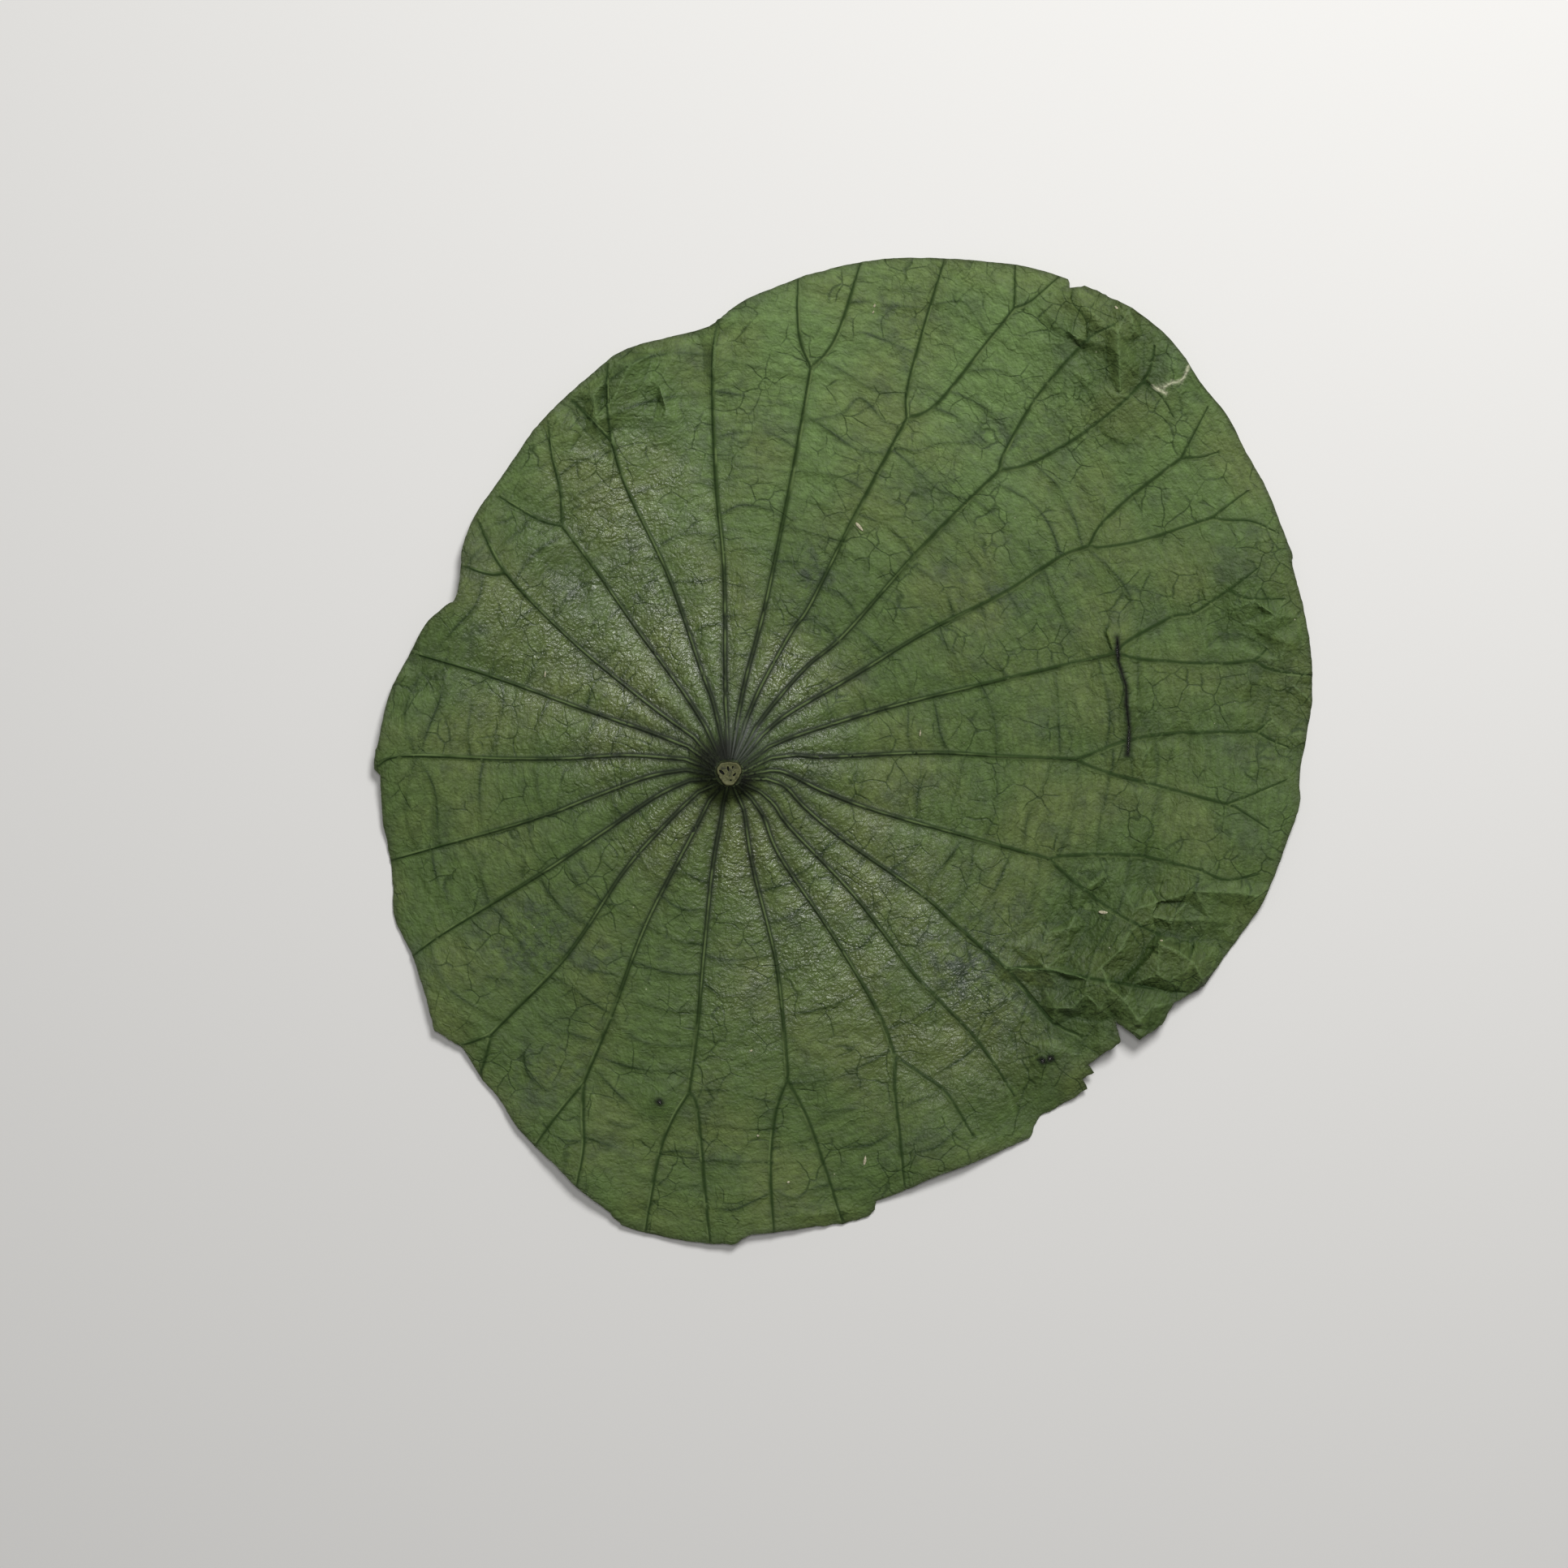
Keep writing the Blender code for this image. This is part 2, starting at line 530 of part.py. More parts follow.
def add_filling(net, rim, holes):
    """Loose points on a triangular grid, wherever nothing else is near."""
    low, high = rim.min(axis=0), rim.max(axis=0)
    row_height = NET_SPACING * math.sqrt(3) / 2
    grid = []
    for row in range(math.ceil((high[1] - low[1]) / row_height)):
        start = low[0] + (row % 2) * NET_SPACING / 2
        across = np.arange(start, high[0], NET_SPACING)
        grid.append(np.stack([across, np.full(len(across), low[1] + row * row_height)], axis=1))
    grid = np.vstack(grid)
    grid = grid[inside(grid, rim)]
    grid = grid[loop_distance(grid, rim) > NET_CLEARANCE]
    for hole in holes:
        grid = grid[~inside(grid, hole) & (loop_distance(grid, hole) > NET_CLEARANCE / 2)]
    fixed = np.array(net.points)
    edges = np.array(net.edges)
    gap = distances(grid, fixed[edges[:, 0]], fixed[edges[:, 1]])[0].min(axis=1)
    net.loose(grid[gap > NET_CLEARANCE])


def flat_triangles():
    """The flat net of the blade: its points in plan and its triangles."""
    rim = rim_loop()
    lines = vein_lines()
    holes = openings()
    net = Net()
    net.line(rim, closed=True)
    for hole in holes:
        net.line(hole, closed=True)
    add_hub(net)
    add_veins(net, lines, rim)
    for route, _, _ in CREASES:
        crease = along([from_hub(*place) for place in route], TRUNK_STEP, curved=False)
        net.line(crease[loop_distance(crease, rim) > RIM_CLEARANCE])
    add_filling(net, rim, holes)
    flat = [Vector(point) for point in net.points]
    found = delaunay_2d_cdt(flat, net.edges, [], 1, MERGE_DISTANCE, False)
    points = np.array([tuple(point) for point in found[0]])
    faces = np.array([face for face in found[2] if len(face) == 3])
    middle = points[faces].mean(axis=1)
    keep = inside(middle, rim)
    for hole in holes:
        keep &= ~inside(middle, hole)
    return points, faces[keep], Relief(lines), rim


def leaf_mesh():
    """The whole leaf as one closed mesh, centred on the middle of its outline."""
    points, faces, relief, rim = flat_triangles()
    mesh = bmesh.new()
    verts = [mesh.verts.new((x, y, 0)) for x, y in points]
    for a, b, c in faces:
        mesh.faces.new((verts[a], verts[b], verts[c]))
    loose = [vert for vert in mesh.verts if not vert.link_faces]
    bmesh.ops.delete(mesh, geom=loose, context="VERTS")
    bmesh.ops.recalc_face_normals(mesh, faces=mesh.faces)
    if any(face.normal.z < 0 for face in mesh.faces):
        bmesh.ops.reverse_faces(mesh, faces=mesh.faces)
    lower = list(mesh.verts)
    raised = bmesh.ops.extrude_face_region(mesh, geom=list(mesh.faces), use_keep_orig=True)
    upper = [item for item in raised["geom"] if isinstance(item, bmesh.types.BMVert)]
    centre = (rim.min(axis=0) + rim.max(axis=0)) / 2
    for layer, surface in ((lower, lower_height), (upper, relief.upper_height)):
        plan = np.array([vert.co.xy for vert in layer])
        for vert, place, height in zip(layer, plan - centre, surface(plan)):
            vert.co = (*place, height)
    bmesh.ops.triangulate(mesh, faces=mesh.faces)
    bmesh.ops.recalc_face_normals(mesh, faces=mesh.faces)
    data = bpy.data.meshes.new("leaf")
    mesh.to_mesh(data)
    mesh.free()
    data.shade_smooth()
    data.set_sharp_from_angle(angle=math.radians(55))
    return data


def leaf_material():
    """Dark green, slightly waxy plant skin."""
    material = bpy.data.materials.new("leaf_skin")
    material.use_nodes = True
    shader = material.node_tree.nodes["Principled BSDF"]
    shader.inputs["Base Color"].default_value = LEAF_GREEN
    shader.inputs["Roughness"].default_value = LEAF_ROUGHNESS
    shader.inputs["Metallic"].default_value = 0.0
    return material


def main():
    for old in list(bpy.data.objects):
        bpy.data.objects.remove(old)
    leaf = bpy.data.objects.new("leaf", leaf_mesh())
    leaf.data.materials.append(leaf_material())
    bpy.context.scene.collection.objects.link(leaf)


main()
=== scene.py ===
"""A preserved lotus leaf, laid down with its veined underside up, seen from straight above.

The blade with its veins is one closed sheet, and the cut stalk stub and a few dry crumbs sit on it. The blade's
net is drawn point by point, because no primitive has its torn rim and its forking veins. The other pieces start
as primitives and are shaped in edit mode.
"""

import sys
import logging
import math
from collections import defaultdict
from dataclasses import dataclass, field
from enum import Enum

import bmesh
import bpy
import numpy as np
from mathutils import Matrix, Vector, kdtree, noise
from mathutils.geometry import delaunay_2d_cdt


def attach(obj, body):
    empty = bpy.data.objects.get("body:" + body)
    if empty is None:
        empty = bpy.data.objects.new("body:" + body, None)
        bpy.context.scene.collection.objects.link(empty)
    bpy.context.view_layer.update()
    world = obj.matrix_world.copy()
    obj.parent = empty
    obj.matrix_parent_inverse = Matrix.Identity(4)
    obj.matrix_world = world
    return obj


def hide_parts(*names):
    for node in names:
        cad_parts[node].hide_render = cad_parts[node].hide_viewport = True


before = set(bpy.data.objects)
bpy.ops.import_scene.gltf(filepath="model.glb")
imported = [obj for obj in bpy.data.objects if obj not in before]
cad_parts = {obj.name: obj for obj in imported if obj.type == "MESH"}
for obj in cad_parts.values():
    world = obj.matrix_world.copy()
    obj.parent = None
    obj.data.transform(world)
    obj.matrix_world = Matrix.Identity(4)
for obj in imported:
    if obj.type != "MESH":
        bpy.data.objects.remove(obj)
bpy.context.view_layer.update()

log = logging.getLogger("lotus leaf")

MM = 0.001
LEAF_NODE = "leaf"
PHOTO_SIDE = 1932

Route = tuple[tuple[float, float], ...]
Colour = tuple[float, float, float]


class Stretch(Enum):
    """How a stretch of the rim runs."""

    SMOOTH = "smooth"
    TORN = "torn"


class Rank(Enum):
    """How far out in its tree a vein stands."""

    TRUNK = 0
    BRANCH = 1
    TWIG = 2


# Each swell: distance in mm and bearing in degrees from the hub, spread and rise in mm
SWELLS = (
    (178, 46, 36, 6.5),
    (172, 62, 26, 3.0),
    (176, 18, 30, 3.2),
    (168, -8, 30, 4.6),
    (146, -33, 27, 6.0),
    (140, -62, 24, 4.0),
    (144, -88, 26, 3.2),
    (138, -112, 26, 4.4),
    (117, -140, 26, 3.4),
    (106, 178, 26, 4.6),
    (102, 148, 26, 5.2),
    (121, 116, 30, 5.0),
    (140, 84, 24, 2.8),
    (82, 20, 22, 1.5),
    (78, -120, 20, 1.4),
    (74, 136, 20, 1.5),
    (92, -48, 24, 1.6),
    (96, 66, 24, 1.5),
)

# Points below are (distance in mm, bearing in degrees) from the hub. Bearings turn from +X towards +Y.

# The rim, clockwise from the top. A smooth stretch is a curve, a torn one runs straight between its points
RIM = (
    (Stretch.SMOOTH, (
        (150.2, 81.0), (158.7, 74.4), (165.4, 68.2), (173.6, 60.8), (176.7, 57.9), (179.2, 54.9),
    )),
    (Stretch.TORN, ((177.6, 54.3), (180.7, 53.3))),
    (Stretch.SMOOTH, (
        (183.1, 49.9), (185.2, 45.9), (185.4, 42.4), (184.0, 38.9), (184.7, 35.0), (183.7, 31.2),
        (183.7, 27.2), (182.9, 22.9), (182.6, 20.2), (181.6, 19.3), (181.0, 15.0), (180.2, 10.3),
        (178.6, 6.1), (176.3, 2.9), (173.7, -1.2), (173.9, -4.3), (171.3, -8.0), (169.4, -11.6),
        (167.6, -14.9), (166.2, -16.6), (162.6, -20.7), (159.6, -25.2),
    )),
    (Stretch.TORN, (
        (153.9, -28.3), (153.6, -31.2), (150.4, -34.0), (141.2, -33.8), (146.4, -35.4), (142.5, -40.1),
        (145.7, -40.3), (144.3, -41.8), (147.4, -42.3), (145.2, -46.2), (143.0, -48.5),
    )),
    (Stretch.SMOOTH, ((146.4, -51.3), (142.7, -58.3), (140.7, -63.5), (140.7, -67.9), (140.8, -71.4))),
    (Stretch.TORN, ((143.2, -71.9), (144.7, -73.2), (144.7, -76.5))),
    (Stretch.SMOOTH, ((143.6, -80.1), (143.6, -84.5), (143.8, -87.3))),
    (Stretch.TORN, ((146.4, -89.3), (146.5, -91.5))),
    (Stretch.SMOOTH, ((146.2, -95.0), (145.3, -100.3), (144.5, -103.1))),
    (Stretch.SMOOTH, (
        (141.6, -104.7), (137.1, -109.6), (133.4, -113.1), (130.6, -116.9), (128.0, -120.3),
        (123.6, -124.6), (122.1, -128.0), (119.8, -130.9), (118.8, -132.7),
    )),
    (Stretch.TORN, ((119.6, -135.3), (121.1, -137.6))),
    (Stretch.SMOOTH, (
        (116.5, -142.0), (114.4, -145.2), (112.7, -148.6), (112.2, -155.0), (109.2, -159.3),
        (107.4, -163.3), (106.8, -166.6), (106.7, -170.1), (106.1, -174.5), (105.9, -177.9),
    )),
    (Stretch.TORN, ((107.6, -178.9), (107.2, 178.0))),
    (Stretch.SMOOTH, (
        (106.5, 176.9), (105.8, 173.4), (105.2, 168.6), (102.6, 161.7), (101.0, 155.3), (98.0, 150.8),
        (96.7, 149.2), (98.8, 145.7), (102.9, 142.0), (105.2, 139.4), (108.1, 134.8), (111.7, 127.2),
        (117.2, 120.1), (121.4, 114.2), (125.8, 108.7), (129.6, 104.1), (130.9, 97.4), (132.5, 93.0),
    )),
    (Stretch.TORN, ((135.1, 91.0),)),
    (Stretch.SMOOTH, ((138.0, 89.7), (141.6, 87.4), (146.9, 83.2), (150.2, 81.0))),
)


@dataclass(frozen=True)
class Vein:
    """A vein as its route from the hub, or from the fork before it, and the veins that it forks into."""

    route: Route
    forks: tuple["Vein", ...] = ()


def vein(*route: tuple[float, float], forks: tuple[Vein, ...] = ()) -> Vein:
    """Gives the vein of one table row.

    Args:
        route: its places, nearest the hub first.
        forks: the veins that it splits into at its end.

    Returns:
        The vein.
    """
    return Vein(route, forks)


# The trunks run clockwise from the top
VEINS = (
    vein((22, 92.6), (59, 91.4), (86, 92.6), (119, 92.4), (134, 91.5)),
    vein((26, 78.4), (48, 76.9), (72, 77.3), (92, 77.6), (123, 78.2), forks=(
        vein((130, 80.3), (139, 81.3), (148, 81.8)),
        vein((128, 76.6), (137, 75.6), (158, 75.2)))),
    vein((25, 67.0), (44, 64.4), (54, 62.7), (84, 62.9), (118, 62.6), forks=(
        vein((126, 64.4), (143, 65.7), (167, 66.8)),
        vein((126, 59.9), (150, 58.4), (163, 57.8), forks=(
            vein((174, 60.0),),
            vein((167, 56.8), (179, 55.7)))))),
    vein((23, 52.4), (38, 50.8), (53, 47.9), (88, 48.1), (121, 47.2), forks=(
        vein((127, 48.4), (145, 49.8), (167, 49.7), (176, 48.7)),
        vein((128, 45.0), (142, 43.2), (159, 42.4), (171, 42.5), forks=(
            vein((176, 43.2), (181, 44.4)),
            vein((172, 40.2), (171, 37.7)))))),
    vein((24, 39.1), (46, 34.8), (72, 33.5), (99, 31.6), (118, 31.8), (128, 31.0), forks=(
        vein((135, 32.6), (148, 33.5), (166, 33.9), forks=(
            vein((170, 34.7), (181, 36.5)),
            vein((171, 32.9), (176, 32.4)))),
        vein((131, 29.9), (143, 28.2), (165, 26.8), forks=(
            vein((172, 27.3), (178, 27.6)),
            vein((168, 26.0), (175, 24.8), (181, 22.7)))))),
    vein((25, 21.3), (52, 19.0), (77, 17.3), (108, 16.1), (122, 15.7), forks=(
        vein((128, 17.0), (142, 18.1), (149, 17.8), (161, 19.0), forks=(
            vein((171, 20.1),),
            vein((165, 17.6), (176, 16.4)))),
        vein((129, 14.1), (149, 11.6), (163, 10.9), forks=(
            vein((167, 11.8),),
            vein((168, 9.6), (179, 8.5)))))),
    vein((21, 6.0), (30, 3.3), (61, 2.8), (85, 1.2), (106, 0.5), forks=(
        vein((112, 1.6), (121, 3.0), (135, 3.7), (161, 3.3), forks=(
            vein((165, 4.4),),
            vein((165, 2.4), (170, 1.6)))),
        vein((112, -1.1), (129, -3.0), (152, -4.8), forks=(
            vein((157, -3.9), (169, -1.9)),
            vein((157, -5.5), (165, -7.0)))))),
    vein((18, -10.5), (31, -17.0), (48, -18.1), (74, -17.3), (102, -16.8), forks=(
        vein((107, -15.4), (115, -14.2), (128, -12.9), (145, -12.9), (155, -13.3), (164, -12.0)),
        vein((109, -18.6), (125, -21.2), (141, -21.8)))),
    vein((19, -23.2), (27, -30.5), (43, -33.9), (71, -34.3), (85, -35.6), (106, -36.7), forks=(
        vein((111, -34.3), (131, -30.3), (146, -28.1)),
        vein((118, -38.0), (127, -38.7), (135, -37.9)))),
    vein((19, -42.9), (27, -46.5), (53, -46.5), (70, -47.7), (87, -48.8), (112, -48.2), (134, -49.4)),
    vein((20, -57.5), (33, -61.3), (62, -58.9), (88, -59.1), (103, -60.5), forks=(
        vein((112, -63.2), (124, -65.3), (139, -67.4)),
        vein((111, -58.4), (120, -56.7), (135, -56.8)))),
    vein((17, -73.1), (33, -77.0), (63, -76.7), (93, -79.1), (98, -79.6), forks=(
        vein((107, -82.3), (123, -84.1), (144, -84.5)),
        vein((111, -77.6), (124, -76.8), (144, -76.1)))),
    vein((18, -97.7), (33, -98.7), (62, -97.3), (79, -96.8), (101, -96.9), forks=(
        vein((110, -99.0), (122, -100.1), (145, -100.1)),
        vein((107, -95.1), (132, -93.1), (146, -92.2)))),
    vein((24, -116.8), (55, -117.1), (85, -114.9), (107, -114.4), forks=(
        vein((118, -115.9), (130, -116.8)),
        vein((116, -112.5), (125, -110.7), (137, -109.7)))),
    vein((24, -135.8), (45, -134.1), (77, -130.0), (110, -131.2), forks=(
        vein((116, -132.8), (119, -133.7)),
        vein((116, -129.6), (122, -128.5)))),
    vein((24, -155.0), (43, -151.1), (66, -149.4), (101, -149.1), (113, -148.5)),
    vein((25, -169.9), (45, -165.4), (62, -163.8), (108, -163.9)),
    vein((31, 175.9), (50, 178.6), (69, 179.0), (99, 178.9), (107, 180.7)),
    vein((27, 158.9), (47, 159.8), (77, 160.0), (103, 160.9)),
    vein((31, 143.8), (57, 142.4), (79, 140.6), (89, 139.6), forks=(
        vein((92, 141.6), (100, 143.5)),
        vein((95, 138.5), (105, 136.2)))),
    vein((26, 122.8), (50, 124.5), (71, 124.6), (88, 125.1), forks=(
        vein((94, 128.0), (107, 130.8)),
        vein((97, 121.8), (108, 119.8), (117, 117.9)))),
    vein((20, 104.6), (29, 106.4), (60, 107.9), (89, 110.4), (104, 110.0), forks=(
        vein((111, 111.6), (119, 113.2)),
        vein((115, 108.6), (126, 107.0)))),
)

# Creases stand up from the blade: route, half width and rise in mm
CREASES = (
    # the long fold across the right side, above and below the crack
    (((139.3, 36.9), (133.5, 29.9), (129.7, 26.3), (124.2, 19.9), (122.5, 18.4)), 3.0, 0.9),
    (((123.0, -2.0), (126.2, -6.4), (129.2, -13.0), (132.3, -15.7), (136.5, -17.3)), 3.0, 0.9),
    # the crumpled lobe at the upper right
    (((167.5, 55.4), (166.0, 53.1), (165.7, 51.0), (167.0, 49.6), (171.0, 47.5), (171.0, 42.6)), 2.6, 1.6),
    (((175.5, 52.0), (173.5, 49.5), (176.0, 46.5)), 2.4, 1.2),
    (((147.0, 42.2), (152.0, 41.4), (155.0, 38.4)), 2.0, 0.8),
    # the pocket of folds at the lower right
    (((140.0, -22.0), (139.5, -25.0), (138.0, -28.5), (134.0, -30.0), (133.0, -33.0)), 2.6, 1.9),
    (((144.0, -22.5), (150.0, -23.5), (153.0, -25.5)), 2.4, 1.3),
    (((121.0, -36.8), (126.0, -35.5), (128.0, -32.8), (131.0, -31.0)), 2.2, 1.0),
    (((126.0, -38.8), (132.0, -36.8), (139.5, -34.8)), 2.2, 1.2),
    (((101.0, -33.2), (108.0, -31.6), (118.0, -30.4)), 2.2, 0.9),
    # the pleat and the dark fold at the upper left, and the lip along the rim there
    (((111.0, 92.9), (119.0, 92.8), (128.0, 92.0)), 2.2, 0.8),
    (((126.0, 101.0), (122.5, 106.0), (119.0, 111.5)), 2.4, 1.2),
    (((112.0, 103.0), (111.0, 109.0), (110.0, 116.0)), 2.2, 0.9),
    # the dent in the right edge, and the torn flap at the bottom
    (((166.0, 14.0), (171.0, 12.5), (177.0, 11.8)), 2.4, 1.0),
    (((139.0, -82.0), (140.5, -78.0), (141.0, -74.5)), 2.0, 0.9),
)

# The open crack in the long fold: its two lips from its upper end to its lower end
CRACK_LEFT_LIP = ((123.5, 17.8), (122.0, 16.2), (122.1, 14.6), (122.6, 10.9), (121.6, 8.3), (121.6, 4.8))
CRACK_RIGHT_LIP = ((121.8, 1.0), (122.6, 2.9), (123.0, 5.0), (122.9, 8.2), (123.4, 10.8), (122.7, 14.4))
# Holes eaten through: distance, bearing, radius in mm
HOLES = ((131.6, -43.5, 0.9), (132.7, -42.6, 1.0), (105.4, -101.5, 0.8))
HOLE_SIDES = 5

LEAF_GREEN = (0.074, 0.117, 0.041, 1.0)
LEAF_ROUGHNESS = 0.55

# Thin veins that cross from one vein to the next: (distance in mm, bearing in degrees) from the hub
CROSS_VEINS: tuple[Route, ...] = (
    ((67, -97.0), (71, -92.0), (71, -88.8), (70, -84.7), (68, -80.8)),
    ((83, -96.5), (85, -93.3), (87, -89.5), (81, -86.3), (79, -83.0), (78, -78.3)),
    ((111, -76.5), (111, -72.7), (112, -70.0)),
    ((121, -75.7), (123, -72.0), (124, -69.4), (123, -66.4)),
    ((131, -83.6), (134, -81.5), (132, -78.7), (132, -76.9)),
    ((134, -75.8), (135, -73.0), (133, -70.5)),
    ((135, -93.1), (136, -89.7), (134, -87.2), (132, -85.0)),
    ((96, -146.2), (100, -142.8), (100, -140.7)),
    ((98, -138.3), (94, -135.2)),
    ((114, -137.9), (111, -134.3)),
    ((109, -124.9), (113, -122.6), (114, -119.5)),
    ((106, 77.6), (109, 74.5), (112, 71.8), (118, 70.1), (114, 65.4)),
    ((145, 75.0), (147, 72.7), (148, 70.2), (151, 66.2)),
    ((134, 75.7), (137, 72.9), (137, 70.2), (137, 66.1)),
    ((152, 66.3), (157, 63.2), (155, 61.2), (152, 58.9)),
    ((108, 62.8), (111, 58.9), (117, 56.3), (122, 53.1)),
    ((140, 58.3), (144, 56.1), (146, 53.5), (146, 50.3)),
    ((132, 59.1), (133, 55.1), (133, 50.5)),
    ((125, 59.8), (126, 56.2), (125, 51.3)),
    ((94, 62.2), (98, 58.5), (100, 54.9)),
    ((97, -97.3), (102, -100.9), (105, -104.7)),
    ((115, -108.6), (115, -105.3), (110, -102.1)),
    ((76, -123.7), (73, -118.0)),
    ((102, -113.2), (106, -108.8), (110, -104.0)),
    ((122, -111.0), (122, -106.9)),
    ((126, -13.4), (127, -21.2)),
    ((147, -11.2), (147, -13.6), (147, -15.3)),
)

# Folds of the crumpled places: route and rise in mm, below zero for a valley
FOLDS: tuple[tuple[Route, float], ...] = (
    (((110, -28.1), (111, -32.5), (111, -34.7)), 0.7),
    (((118, -20.9), (120, -24.2), (120, -27.5), (120, -30.9)), -0.7),
    (((130, -13.4), (133, -16.2), (138, -17.9)), -0.9),
    (((131, -19.9), (137, -18.1), (147, -15.4), (159, -14.4), (165, -14.2)), 1.1),
    (((140, -21.1), (146, -21.2), (153, -20.7), (158, -19.9)), -1.0),
    (((139, -25.9), (139, -23.6), (140, -21.9)), -0.9),
    (((136, -29.6), (137, -27.5), (138, -25.7)), -1.0),
    (((141, -22.9), (148, -22.8), (154, -23.4), (158, -24.6)), 1.3),
    (((105, -36.2), (115, -32.9), (127, -31.2), (134, -30.6)), 1.3),
    (((140, -28.6), (146, -27.9), (151, -27.5)), -0.8),
    (((111, -38.0), (119, -38.0), (127, -39.0), (137, -38.5)), -0.9),
    (((124, -37.0), (128, -35.6), (129, -32.9)), 1.2),
    (((130, -36.6), (137, -35.1), (140, -33.6)), -0.9),
    (((135, -33.5), (135, -32.0)), 0.8),
    (((140, -31.0), (147, -32.3)), 0.9),
    (((132, -23.0), (132, -25.4), (129, -28.7)), 1.2),
    (((143, -24.3), (145, -26.3)), 1.0),
    (((148, -25.0), (149, -26.4)), 0.9),
    (((151, 42.1), (152, 40.1), (155, 38.4)), -0.7),
    (((101, 167.1), (97, 165.8), (96, 164.1)), -0.5),
    (((80, 132.7), (77, 131.9), (74, 131.2), (71, 129.7)), -0.6),
    (((135, 91.5), (126, 91.9), (120, 92.1)), 0.7),
    (((183, 48.5), (176, 48.0), (170, 46.0)), 1.2),
    (((180, 45.5), (175, 44.0), (171, 42.5)), -1.0),
    (((166, 52.5), (165, 49.5), (165, 46.0)), -1.0),
    (((112, 111.0), (117, 107.0), (124, 104.0)), 1.2),
    (((108, 100.0), (117, 100.5), (124, 98.0)), 0.9),
    (((104, 112.0), (110, 113.5), (118, 114.0)), -0.9),
    (((121.6, 3.2), (122.4, 0.6), (123.3, -2.3)), -0.8),
    (((175, 4.3), (171, 5.2), (166, 6.5)), -1.1),
    (((166, 12.5), (161, 14.0), (155, 14.6)), -0.8),
    (((172, 15.0), (167, 17.0)), 0.8),
)

# Lapped edges, where the sheet on the left of the route lies over the one on its right: route, step and reach in mm
LAPS: tuple[tuple[Route, float, float], ...] = (
    (((168, 49.7), (172, 51.0), (174, 53.2), (177, 54.0)), 1.8, 10.0),
    (((141, -22.0), (141, -23.5), (139, -26.6), (136, -30.2)), 2.0, 13.0),
    (((122.6, 19.6), (121.4, 19.0), (121.5, 16.6)), 0.8, 4.0),
    (((151.8, -20.8), (152.2, -22.6)), 1.2, 6.0),
)

# The pale scratch at the upper right, where the skin has cracked off
SCRATCH: Route = (
    (184, 40.7), (181, 40.2), (179, 40.2), (177, 40.6), (174, 40.8), (172, 41.4), (173.5, 40.3),
)

# Crumpled places: distance in mm and bearing in degrees from the hub, reach in mm, and strength
CRUMPLES: tuple[tuple[float, float, float, float], ...] = (
    (135, -26, 27, 1.0),
    (170, 46, 20, 0.9),
    (118, 106, 18, 0.8),
    (128, -48, 18, 0.5),
    (98, -60, 16, 0.3),
    (130, 5, 20, 0.35),
    (172, 5, 24, 0.5),
    (168, 18, 18, 0.45),
    (84, 128, 18, 0.3),
)

# Bluish grey smudges: distance in mm and bearing in degrees from the hub, reach in mm, and strength
SMUDGES: tuple[tuple[float, float, float, float], ...] = (
    (84, -138, 14, 0.8),
    (72, -122, 8, 0.5),
    (96, -38, 16, 0.9),
    (112, -42, 14, 0.7),
    (62, -33, 8, 0.5),
    (92, 32, 12, 0.5),
    (112, 30, 10, 0.4),
    (127, 48, 8, 0.5),
    (148, 70, 5, 0.7),
    (134, 65, 4, 0.8),
    (60, 66, 12, 0.5),
    (98, 92, 12, 0.5),
    (70, 132, 8, 0.5),
    (58, -74, 7, 0.4),
    (105, -122, 12, 0.5),
    (86, 158, 10, 0.3),
)


# Where the skin is waxy and glints, and where its colour is lightened as a painted sheen: distance in mm and bearing in
# degrees from the hub, reach in mm, and strength
GLOSSES: tuple[tuple[float, float, float, float], ...] = (
    (44, 126, 30, 1.0),
    (66, 148, 24, 0.8),
    (82, 112, 24, 0.7),
    (30, 56, 13, 1.0),
    (24, 12, 12, 0.7),
    (29, -84, 15, 1.1),
    (28, -132, 13, 0.8),
    (34, 172, 16, 0.7),
    (58, -55, 32, 0.9),
    (98, -50, 26, 0.6),
    (72, -82, 20, 0.5),
)


def from_hub(distance: float, bearing: float) -> np.ndarray:
    """The point at a distance in mm and a bearing in degrees from the hub, in mm."""
    angle = math.radians(bearing)
    return np.array([math.cos(angle), math.sin(angle)]) * distance


def places(route: Route) -> np.ndarray:
    """A route's places as rows of x and y in mm from the hub."""
    return np.array([from_hub(*place) for place in route])


def smooth(value: np.ndarray) -> np.ndarray:
    """Eases a share from 0 to 1, with no slope at either end."""
    value = np.clip(value, 0, 1)
    return value * value * (3 - 2 * value)


def along(points: np.ndarray, step: float, curved: bool = True) -> np.ndarray:
    """Puts points about a step apart on a curve, or on straight lines, through the given points.

    Args:
        points: rows of x and y.
        step: the distance between points.
        curved: whether the line bends smoothly through the given points.

    Returns:
        Rows of x and y, the given points among them.
    """
    points = np.asarray(points, float)
    padded = np.vstack([2 * points[0] - points[1], points, 2 * points[-1] - points[-2]])
    found = []
    for before, start, end, after in zip(padded, padded[1:], padded[2:], padded[3:]):
        pieces = max(1, round(float(np.linalg.norm(end - start)) / step))
        for share in np.arange(pieces) / pieces:
            if curved:
                out = (end - before) / 2
                into = (after - start) / 2
                swing = 3 * (end - start) - 2 * out - into
                rest = 2 * (start - end) + out + into
                found.append(start + share * (out + share * (swing + share * rest)))
            else:
                found.append(start + share * (end - start))
    found.append(points[-1])
    return np.array(found)


